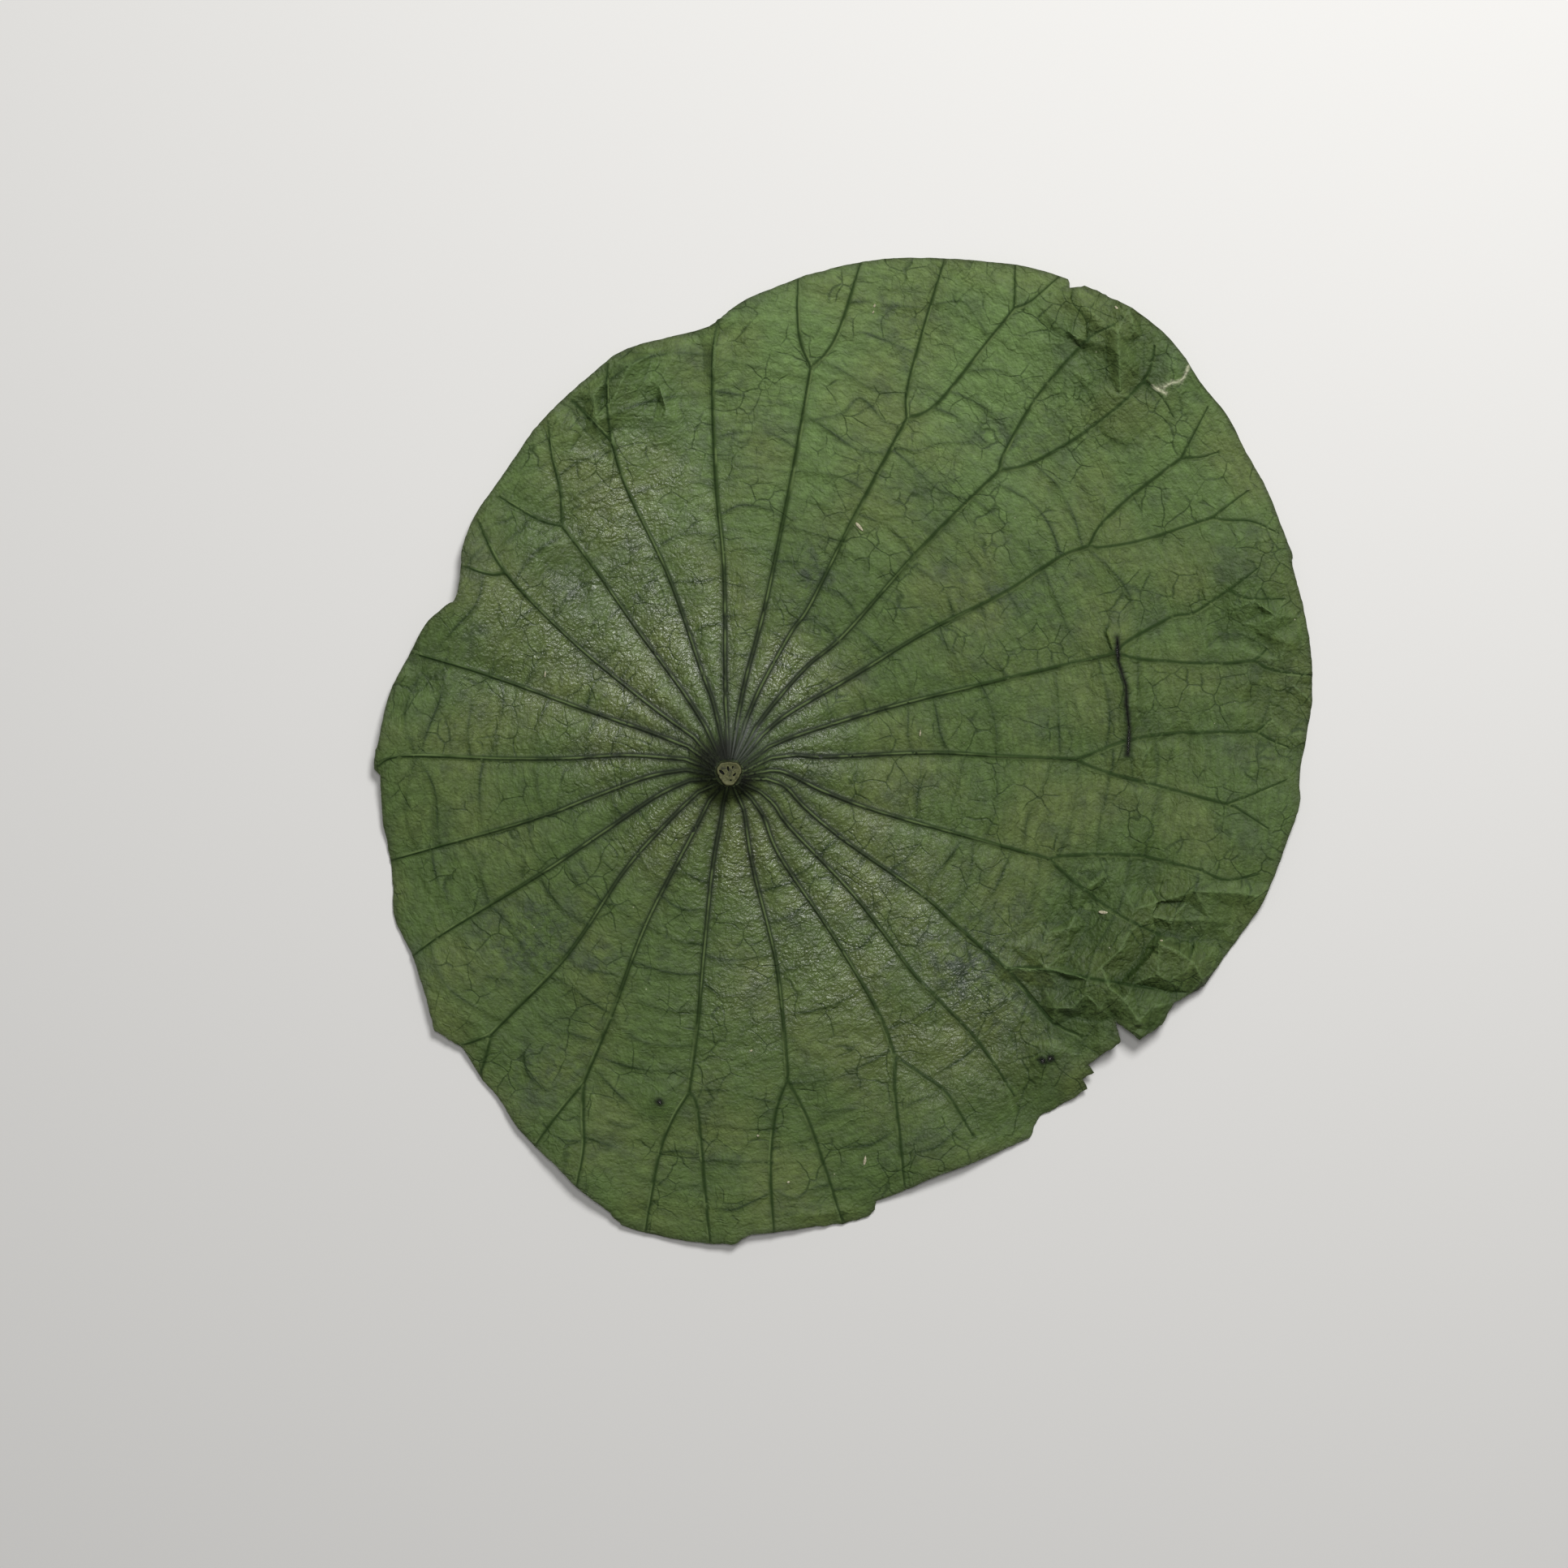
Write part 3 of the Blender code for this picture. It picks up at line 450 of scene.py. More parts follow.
def inside(points: np.ndarray, loop: np.ndarray) -> np.ndarray:
    """Says for each point whether it lies inside a closed loop.

    Args:
        points: rows of x and y.
        loop: the loop's corners in order.

    Returns:
        True or False for each point.
    """
    found = np.zeros(len(points), bool)
    x, y = points[:, 0], points[:, 1]
    for start, end in zip(loop, np.roll(loop, -1, axis=0)):
        spans = (start[1] > y) != (end[1] > y)
        if spans.any():
            crossing = start[0] + (y - start[1]) * (end[0] - start[0]) / (end[1] - start[1])
            found ^= spans & (x < crossing)
    return found


def swirl(points: np.ndarray, spokes: float, pitch: float, seed: float) -> np.ndarray:
    """Noise drawn out into ripples that run round the hub.

    Args:
        points: rows of x and y in mm from the hub.
        spokes: how often it changes round the hub, per radian.
        pitch: how far apart the ripples are, in mm.
        seed: picks another pattern.

    Returns:
        A value from about -1 to 1 for each point.
    """
    reach = np.maximum(np.hypot(points[:, 0], points[:, 1]), 1e-6)
    across = points / reach[:, None] * spokes
    return np.array([
        noise.noise(Vector((x + seed, y - seed, r / pitch)))
        for (x, y), r in zip(across.tolist(), reach.tolist())
    ])


def lumps(points: np.ndarray, size: float, seed: float) -> np.ndarray:
    """Soft noise with lumps of the given size in mm, from about -1 to 1 for each point."""
    return np.array([
        noise.noise(Vector((x / size, y / size, seed))) for x, y in points.tolist()
    ])


class Strands:
    """Many lines drawn as close points, which finds how near any place is to them."""

    def __init__(self) -> None:
        """Starts with no line."""
        self.points: list[np.ndarray] = []
        self.sizes: list[np.ndarray] = []
        self.tree: kdtree.KDTree | None = None

    def add(self, points: np.ndarray, *sizes: np.ndarray) -> None:
        """Adds one line.

        Args:
            points: its places, close together.
            sizes: further values for each place, such as its width.
        """
        self.points.append(points)
        self.sizes.append(np.stack(sizes, axis=1) if sizes else np.zeros((len(points), 1)))

    def near(self, places_: np.ndarray) -> tuple[np.ndarray, np.ndarray, np.ndarray]:
        """Finds the nearest place on any line.

        Args:
            places_: rows of x and y.

        Returns:
            The distance, the further values there, and the side, above 0 where the place is left of the line.
        """
        if self.tree is None:
            self.all = np.vstack(self.points)
            self.values = np.vstack(self.sizes)
            self.run = np.vstack([np.gradient(line, axis=0) for line in self.points])
            length = np.maximum(np.linalg.norm(self.run, axis=1), 1e-9)
            self.run = self.run / length[:, None]
            self.tree = kdtree.KDTree(len(self.all))
            for number, (x, y) in enumerate(self.all.tolist()):
                self.tree.insert((x, y, 0), number)
            self.tree.balance()
        nearest = np.array([self.tree.find((x, y, 0))[1] for x, y in places_.tolist()], int)
        offset = places_ - self.all[nearest]
        run = self.run[nearest]
        sideways = run[:, 0] * offset[:, 1] - run[:, 1] * offset[:, 0]
        beyond = np.maximum(np.abs((run * offset).sum(axis=1)) - 0.5, 0)
        return np.hypot(sideways, beyond), self.values[nearest], sideways


@dataclass
class LeafPlan:
    """The leaf's lines as seen from above, in mm from the hub."""

    rim_step: float = 1.0
    vein_step: float = 1.1
    rank_step: float = 0.5
    hub_width: float = 0.9
    trunk_width: tuple[float, float] = (1.25, 1.0)
    branch_width: float = 1.0
    twig_width: float = 0.85
    trunk_height: tuple[float, float] = (0.95, 0.75)
    branch_height: float = 0.6
    twig_height: float = 0.42
    cross_width: float = 0.7
    cross_height: float = 0.26
    cross_gap: float = 9.0
    crack_share: float = 0.08
    crack_lift: float = 1.3
    rim: np.ndarray = field(init=False)
    veins: list[dict] = field(init=False)
    crossings: list[np.ndarray] = field(init=False)
    openings: list[np.ndarray] = field(init=False)

    def __post_init__(self) -> None:
        """Draws all the lines once."""
        self.rim = self.draw_rim()
        low, high = self.rim.min(axis=0), self.rim.max(axis=0)
        self.centre = (low + high) / 2
        self.veins = []
        for trunk in VEINS:
            self.draw_vein(trunk, on_cone(0.0, trunk.route[0][1]), Rank.TRUNK)
        self.crossings = self.draw_crossings()
        self.openings = self.draw_openings()

    def draw_rim(self) -> np.ndarray:
        """Draws the rim with the small unevenness of a dry edge."""
        loop: list[np.ndarray] = []
        rough: list[float] = []
        last = None
        for kind, row in RIM:
            points = places(row)
            torn = kind is Stretch.TORN
            if last is not None:
                link = along(np.array([last, points[0]]), self.rim_step, curved=False)[1:-1]
                loop.extend(link)
                rough.extend([0.35] * len(link))
            fresh = along(points, self.rim_step, curved=not torn) if len(points) > 1 else points
            loop.extend(fresh)
            rough.extend([0.35 if torn else 0.12] * len(fresh))
            last = points[-1]
        rim = np.array(loop[:-1])
        run = np.roll(rim, -1, axis=0) - np.roll(rim, 1, axis=0)
        side = np.stack([-run[:, 1], run[:, 0]], axis=1)
        side /= np.linalg.norm(side, axis=1)[:, None]
        uneven = 1.4 * lumps(rim, 3.1, 4.0) + 0.9 * lumps(rim, 1.3, 9.0)
        return rim + side * (uneven * np.array(rough[:-1]))[:, None]

    def draw_vein(self, branch: Vein, start: np.ndarray, rank: Rank) -> None:
        """Draws a vein and all that it forks into.

        Args:
            branch: the vein.
            start: where it begins.
            rank: how far out in the tree it stands.
        """
        points = np.vstack([start, places(branch.route)])
        line = along(points, self.rank_step)
        share = np.linspace(0, 1, len(line))
        if rank is Rank.TRUNK:
            line = np.vstack([along(np.array([on_cone(1.0, branch.route[0][1]), start]), self.rank_step)[:-1], line])
            share = np.linspace(0, 1, len(line))
            width = np.interp(share, (0, 0.15, 1), (self.hub_width, *self.trunk_width))
            height = np.interp(share, (0, 0.15, 1), (0.7, *self.trunk_height))
        elif rank is Rank.BRANCH:
            width = np.interp(share, (0, 1), (self.branch_width, self.twig_width))
            height = np.interp(share, (0, 1), (self.branch_height, self.twig_height))
        else:
            width = np.interp(share, (0, 1), (self.twig_width, 0.5))
            height = np.interp(share, (0, 1), (self.twig_height, 0.25))
        if not branch.forks:
            fade = np.interp(share, (0.7, 1), (1, 0.7))
            width, height = width * fade, height * fade
        self.veins.append({"line": line, "width": width, "height": height, "rank": rank})
        for fork in branch.forks:
            self.draw_vein(fork, points[-1], Rank(rank.value + 1))

    def draw_crossings(self) -> list[np.ndarray]:
        """Draws the thin veins that join neighbours: those of the table, and more where it has none."""
        drawn = [along(places(route), self.rank_step) for route in CROSS_VEINS]
        taken = [line[len(line) // 2] for line in drawn]
        radii = np.arange(30, 182, 0.5)
        rows: list[tuple[np.ndarray, np.ndarray]] = []
        for item in self.veins:
            reach = np.hypot(*item["line"].T)
            angle = np.unwrap(np.arctan2(item["line"][:, 1], item["line"][:, 0]))
            order = np.argsort(reach)
            rows.append((reach[order], angle[order]))
        rng = np.random.default_rng(7)
        for level in range(11):
            base = 36 + self.cross_gap * level
            here = []
            for reach, angle in rows:
                if reach[0] < base < reach[-1]:
                    here.append((float(np.interp(base, reach, angle)) % (2 * math.pi), reach, angle))
            here.sort(key=lambda row: row[0])
            for (a, *left), (b, *right) in zip(here, here[1:] + here[:1]):
                gap = (b - a) % (2 * math.pi)
                shift, bend, lean, kink = rng.uniform(-1, 1, 4)
                wide = gap * base
                if wide < 7 or wide > 60:
                    continue
                start = base + 5.0 * shift
                ends = []
                for (reach, angle), r in ((left, start), (right, start + 0.14 * wide * lean)):
                    r = float(np.clip(r, reach[0], reach[-1]))
                    ends.append((r, float(np.interp(r, reach, angle))))
                (r0, a0), (r1, a1) = ends
                a1 = a0 + (a1 - a0) % (2 * math.pi)
                middle = 0.5 + 0.16 * kink
                bulge = (0.08 + 0.07 * bend) * wide * (1 if kink > -0.3 else -1)
                turns = (0, middle * 0.5, middle, 0.5 + middle * 0.5, 1)
                lifts = (0, 0.75 * bulge, bulge, 0.55 * bulge, 0)
                path = [
                    (r0 + (r1 - r0) * t + up, math.degrees(a0 + (a1 - a0) * t)) for t, up in zip(turns, lifts)
                ]
                line = along(places(tuple(path)), self.rank_step)
                centre = line[len(line) // 2]
                if all(np.hypot(*(centre - other)) > 8 for other in taken):
                    drawn.append(line)
                    taken.append(centre)
        return drawn

    def draw_openings(self) -> list[np.ndarray]:
        """Draws the loops that are cut right through: the crack in the long fold, and the holes."""
        left = along(places(CRACK_LEFT_LIP), self.rim_step, curved=False)
        right = along(places(CRACK_RIGHT_LIP), self.rim_step, curved=False)
        crack = np.vstack([left, right])
        order_left, order_right = np.argsort(left[:, 1]), np.argsort(right[:, 1])
        middle = (np.interp(crack[:, 1], left[order_left, 1], left[order_left, 0])
                  + np.interp(crack[:, 1], right[order_right, 1], right[order_right, 0])) / 2
        crack[:, 0] = middle + (crack[:, 0] - middle) * self.crack_share
        loops = [crack + 0.12 * np.stack([lumps(crack, 1.7, 2.0), lumps(crack, 1.7, 5.0)], axis=1)]
        turns = np.arange(14) * 2 * math.pi / 14
        for distance, bearing, radius in HOLES:
            circle = np.stack([np.cos(turns), np.sin(turns)], axis=1) * radius * 0.5
            circle *= (1 + 0.35 * np.sin(3 * turns + distance))[:, None]
            loops.append(from_hub(distance, bearing) + circle)
        return loops


# Hub, in mm: the blade rises to the stalk as a leaning cone, which flares out below the stub
CONE_FOOT = 13.0
CONE_NECK = 4.3
CONE_RISE = 8.0
CONE_FLARE = 1.5
CONE_HOLLOW = 0.65
STUB_OFFSET = np.array([0.3, -3.2])
STUB_RADIUS = 3.45
STUB_CORNER = 0.10
STUB_CORNER_BEARING = -90.0
STUB_RISE = 2.6
# Each air channel: centre from the stub's middle, length and width in mm, and its turn in degrees
CHANNELS = (
    ((-2.2, 0.2), 2.1, 0.9, -42),
    ((-0.3, 1.3), 1.5, 0.7, -80),
    ((1.1, 1.7), 1.0, 0.5, 80),
    ((1.6, -0.5), 1.3, 0.6, 45),
    ((0.5, -2.2), 0.7, 0.5, 0),
)
BLADE_THICKNESS = 0.55
RIM_THICKNESS = 0.34
SHOULDER_RISE = 3.6
SHOULDER_SPREAD = 36.0
SAG = 0.9


def on_cone(climb: float, bearing: float) -> np.ndarray:
    """The point of the hub's cone at a bearing, climb being 0 at its foot and 1 at its neck."""
    return climb * STUB_OFFSET + from_hub(CONE_FOOT + climb * (CONE_NECK - CONE_FOOT), bearing)


def cone_climb(points: np.ndarray) -> np.ndarray:
    """How far up the hub's leaning cone each point is, from 0 at its foot to 1 at its neck."""
    taper = CONE_FOOT - CONE_NECK
    a = STUB_OFFSET @ STUB_OFFSET - taper**2
    b = 2 * (CONE_FOOT * taper - points @ STUB_OFFSET)
    c = (points**2).sum(axis=1) - CONE_FOOT**2
    root = np.sqrt(np.maximum(b * b - 4 * a * c, 0))
    return np.clip((-b + root) / (2 * a), 0, 1)


def lower_height(points: np.ndarray) -> np.ndarray:
    """The blade's lower surface in mm, which is flat where the leaf rests."""
    reach = np.hypot(points[:, 0], points[:, 1])
    height = SHOULDER_RISE * np.exp(-((reach / SHOULDER_SPREAD) ** 2)) - SAG
    for distance, bearing, spread, rise in SWELLS:
        gap = np.linalg.norm(points - from_hub(distance, bearing), axis=1)
        height = height + rise * np.exp(-((gap / spread) ** 2))
    return np.maximum(height, 0) + CONE_HOLLOW * CONE_RISE * cone_climb(points) ** CONE_FLARE


def zone(points: np.ndarray, rows: tuple[tuple[float, float, float, float], ...]) -> np.ndarray:
    """The strength of the strongest zone of a table at each point."""
    strength = np.zeros(len(points))
    for distance, bearing, reach, strong in rows:
        gap = np.linalg.norm(points - from_hub(distance, bearing), axis=1) / reach
        strength = np.maximum(strength, strong * np.exp(-(gap**2)))
    return strength


class FoldNet:
    """Flat facets that meet in sharp folds, as in crumpled paper: the table's folds, and random ones between them."""

    def __init__(self, spacing: float = 5.5) -> None:
        """Puts the corners, joins them to triangles and keeps those that lie in a crumpled place.

        Args:
            spacing: about how far apart random corners are, in mm.
        """
        rng = np.random.default_rng(11)
        corners: list[np.ndarray] = []
        heights: list[float] = []
        edges: list[tuple[int, int]] = []
        for route, rise in FOLDS:
            start = len(corners)
            corners.extend(places(route))
            heights.extend(1.8 * rise * rng.uniform(0.8, 1.1, len(route)))
            edges.extend((start + i, start + i + 1) for i in range(len(route) - 1))
        table = np.array(corners)
        spots = np.stack(np.meshgrid(*[np.arange(-190, 190, spacing)] * 2), axis=-1).reshape(-1, 2)
        spots = spots + rng.uniform(-0.42, 0.42, spots.shape) * spacing
        spots = spots[[np.linalg.norm(table - spot, axis=1).min() > 0.62 * spacing for spot in spots]]
        corners.extend(spots)
        heights.extend(1.7 * rng.uniform(-1, 1, len(spots)) * zone(spots, CRUMPLES))
        found = delaunay_2d_cdt([Vector(c) for c in np.array(corners).tolist()], edges, [], 0, 1e-3, True)
        self.points = np.array([tuple(point) for point in found[0]])
        given = np.array(heights)
        self.heights = np.array([given[olds[0]] if olds else 0.0 for olds in found[3]])
        self.faces = [tuple(face) for face in found[2] if np.abs(self.heights[list(face)]).max() > 0.12]

    def folds(self) -> list[np.ndarray]:
        """The folds between the facets, each as its two ends."""
        pairs = {tuple(sorted(pair)) for a, b, c in self.faces for pair in ((a, b), (b, c), (c, a))}
        return [self.points[list(pair)] for pair in sorted(pairs)]

    def height(self, points: np.ndarray) -> np.ndarray:
        """The facets' height in mm at each point."""
        total = np.zeros(len(points))
        for face in self.faces:
            a, b, c = self.points[list(face)]
            corners = np.array([a, b, c])
            near = np.flatnonzero(((points >= corners.min(axis=0)) & (points <= corners.max(axis=0))).all(axis=1))
            if not len(near):
                continue
            matrix = np.linalg.inv(np.array([b - a, c - a]).T)
            share = (points[near] - a) @ matrix.T
            weight = np.column_stack([1 - share.sum(axis=1), share])
            within = (weight >= -1e-9).all(axis=1)
            total[near[within]] = weight[within] @ self.heights[list(face)]
        return total

    def bend(self, points: np.ndarray, height: np.ndarray, step: float = 0.6) -> np.ndarray:
        """How sharply the facets bend at each point: above zero in a valley, and below it on a crest."""
        total = -4 * height
        for offset in ((step, 0), (-step, 0), (0, step), (0, -step)):
            total += self.height(points + offset)
        return total / step


@dataclass
class Relief:
    """Where the blade's upper surface lies, and what marks it, at any place."""

    plan: LeafPlan
    marks: dict[str, np.ndarray] = field(init=False, default_factory=dict)

    def __post_init__(self) -> None:
        """Readies the lines for finding the nearest one."""
        self.veins, self.crossings, self.rim = Strands(), Strands(), Strands()
        for item in self.plan.veins:
            self.veins.add(item["line"], item["width"], item["height"])
        for line in self.plan.crossings:
            self.crossings.add(line)
        self.rim.add(np.vstack([self.plan.rim, self.plan.rim[:1]]))
        self.folds = FoldNet()
        self.lips = Strands()
        for loop in self.plan.openings:
            self.lips.add(along(np.vstack([loop, loop[:1]]), 0.5, curved=False))

    def under(self, points: np.ndarray) -> np.ndarray:
        """The blade's lower surface in mm, a little off the ground along the crack and the holes."""
        gap, _, _ = self.lips.near(points)
        return lower_height(points) + self.plan.crack_lift * np.exp(-((gap / 7) ** 2))

    def creased(self, points: np.ndarray, rows: tuple[tuple[Route, float, float], ...]) -> np.ndarray:
        """Adds up sharp-crested creases.

        Args:
            points: where it is asked.
            rows: the routes with their half widths and rises.

        Returns:
            How far each point stands up, in mm.
        """
        total = np.zeros(len(points))
        for route, half_width, rise in rows:
            line = Strands()
            path = along(places(route), 0.5, curved=False)
            line.add(path, np.minimum(np.linspace(0, 5, len(path)), np.linspace(5, 0, len(path))))
            close = np.linalg.norm(points - path.mean(axis=0), axis=1) < 6 * half_width + np.ptp(path, axis=0).max()
            gap, values, _ = line.near(points[close])
            shape = np.exp(-((np.hypot(gap, 0.12) / half_width) ** 1.2))
            total[close] += rise * shape * np.clip(0.4 + values[:, 0], 0, 1)
        return total

    def lapped(self, points: np.ndarray) -> tuple[np.ndarray, np.ndarray]:
        """Raises the upper sheet of each lapped edge, and marks the shade under it.

        Args:
            points: where it is asked.

        Returns:
            The rise in mm, and the shade from 0 to 1.
        """
        rise = np.zeros(len(points))
        shade = np.zeros(len(points))
        for route, step, reach in LAPS:
            line = Strands()
            path = along(places(route), 0.4)
            ends = np.minimum(np.arange(len(path)), np.arange(len(path))[::-1]) * 0.4
            line.add(path, np.clip(ends / 3 + 0.3, 0, 1))
            gap, values, side = line.near(points)
            over = smooth((side + 0.3) / 0.6)
            rise += step * over * np.exp(-((gap / reach) ** 2)) * values[:, 0]
            shade = np.maximum(shade, np.exp(-((gap / 0.9) ** 2)) * (side < 0.2))
        return rise, shade

    def upper_height(self, points: np.ndarray) -> np.ndarray:
        """Finds the blade's upper surface, and keeps what marks it.

        Args:
            points: rows of x and y in mm from the hub.

        Returns:
            The height of each point in mm.
        """
        reach = np.hypot(points[:, 0], points[:, 1])
        climb = cone_climb(points)
        gap, sizes, side = self.veins.near(points)
        side = np.where(gap > np.abs(side) + 0.01, 9.0, -side)
        width, height = sizes[:, 0], sizes[:, 1]
        ridge = height * np.maximum(0, 1 - (gap / width) ** 2) ** 2
        cross_gap, _, _ = self.crossings.near(points)
        wavering = 0.6 + 0.6 * lumps(points, 7, 6.5)
        cross = self.plan.cross_height * np.clip(wavering, 0.2, 1) * np.exp(-((cross_gap / 0.55) ** 2))
        rim_gap, _, _ = self.rim.near(points)
        near_hub = np.exp(-((reach / 78) ** 2))
        pillow = (0.25 + 0.75 * near_hub) * (1 - np.exp(-((gap / (2.4 + 0.02 * reach)) ** 2)))
        ripple = (0.10 + 0.10 * smooth((reach - 40) / 60)) * swirl(points, 10, 3.4, 1.0)
        ripple += 0.22 * swirl(points, 6, 8.0, 5.0) * smooth((reach - 30) / 50)
        ripple += 0.35 * (0.3 - np.abs(swirl(points, 9, 5.5, 3.0))) * smooth((reach - 35) / 45)
        ripple += (0.3 * lumps(points, 17, 0.5) + 0.14 * lumps(points, 6, 2.5)) * smooth((reach - 12) / 20)
        fine = self.folds.height(points)
        bend = self.folds.bend(points, fine)
        big = self.creased(points, CREASES)
        lap, shade = self.lapped(points)
        lip_gap, _, lip_side = self.lips.near(points)
        lip = 0.5 * np.exp(-((lip_gap / 2.2) ** 2))
        solid_cone = (1 - CONE_HOLLOW) * CONE_RISE * climb**CONE_FLARE
        flat_neck = climb < 1
        thick = RIM_THICKNESS + (BLADE_THICKNESS - RIM_THICKNESS) * smooth(rim_gap / 5)
        relief = np.maximum(ridge, cross) * flat_neck + pillow * (1 - climb) + ripple * (1 - climb)
        relief += big + fine + lap + lip
        relief = np.maximum(relief, 0.05 - thick)
        outer = smooth((reach - 60) / 40)
        self.marks = {
            "vein": np.exp(-((gap / (0.72 * width)) ** 3.5)) * flat_neck,
            "valley": np.exp(-((gap / (1.6 * width)) ** 2)) * flat_neck,
            # crest: a painted highlight along one side of each vein's crest, the flank that faces the light
            "crest": np.exp(-(((side - 0.4 * outer) / ((0.14 + 0.14 * outer) * width)) ** 2)) * flat_neck,
            "cross": np.exp(-((cross_gap / 0.55) ** 2)) * np.clip(0.55 + 0.8 * lumps(points, 9, 7.5), 0.15, 1),
            "edge": np.exp(-rim_gap / 0.9),
            "shade": np.clip(shade + np.exp(-((lip_gap / 1.3) ** 2)) + np.clip(-0.3 * fine, 0, 0.3)
                             + np.clip(1.1 * bend, 0, 0.6), 0, 1),
            # ridge: painted light on the crests of the folds; the shade mark above holds the painted shade in their
            # valleys
            "ridge": np.clip(-0.5 * bend, 0, 0.4),
            "smudge": zone(points, SMUDGES),
            "gloss": zone(points, GLOSSES),
            # painted shade in the crack and the holes, laid on as near-black at their lips
            "painted_opening_shade": np.exp(-((lip_gap / 0.62) ** 3)),
            "crumple": zone(points, CRUMPLES),
            "scar": self.scarred(points),
            # dark: painted shadow round the stub
            "dark": self.painted_stub_shadow(points),
            # painted sheen in streaks on the cone's lit slope, up and right of the stub
            "painted_cone_sheen": np.exp(-((np.linalg.norm(points - (4.5, 7.0), axis=1) / 7.0) ** 4)),
        }
        return self.under(points) + thick + relief + solid_cone

    def painted_stub_shadow(self, points: np.ndarray) -> np.ndarray:
        """The painted shadow round the stub, from 0 to 1: the stub's cast shadow and the cone's shaded side, laid on as
        near-black.
        """
        reach = np.hypot(points[:, 0], points[:, 1])
        spots = ((-1.2, 3.4, 4.8, 1.0), (-5.4, 1.8, 5.2, 0.85), (4.6, -5.6, 3.4, 0.85), (-3.5, -5.0, 4.0, 0.35),
                 (-1.8, 0.8, 10.0, 0.4))
        dark = np.zeros(len(points))
        for x, y, size, strong in spots:
            dark = np.maximum(dark, strong * np.exp(-((np.linalg.norm(points - (x, y), axis=1) / size) ** 3)))
        return dark * (1 - 0.5 * smooth((reach - 10) / 8))

    def scarred(self, points: np.ndarray) -> np.ndarray:
        """How near each point is to the pale scratch, from 0 to 1."""
        line = Strands()
        line.add(along(places(SCRATCH), 0.3, curved=False))
        gap, _, _ = line.near(points)
        return 0.85 * np.exp(-((gap / 0.32) ** 2))


class Sieve:
    """Keeps points that aren't too near those kept before."""

    def __init__(self, cell: float) -> None:
        """Starts empty, with the given cell size in mm."""
        self.cell = cell
        self.cells: dict[tuple[int, int], list[tuple[float, float]]] = defaultdict(list)

    def keep(self, points: np.ndarray, clearance: float) -> list[tuple[float, float]]:
        """Takes in the points that have room.

        Args:
            points: candidate points, the most wanted first.
            clearance: the least distance to any point that is there already, no more than a cell.

        Returns:
            The points that were kept.
        """
        kept = []
        limit = clearance * clearance
        for x, y in points.tolist():
            i, j = int(x // self.cell), int(y // self.cell)
            free = True
            for cell in ((i + di, j + dj) for di in (-1, 0, 1) for dj in (-1, 0, 1)):
                for u, v in self.cells.get(cell, ()):
                    if (u - x) ** 2 + (v - y) ** 2 < limit:
                        free = False
                        break
                if not free:
                    break
            if free:
                self.cells[(i, j)].append((x, y))
                kept.append((x, y))
        return kept


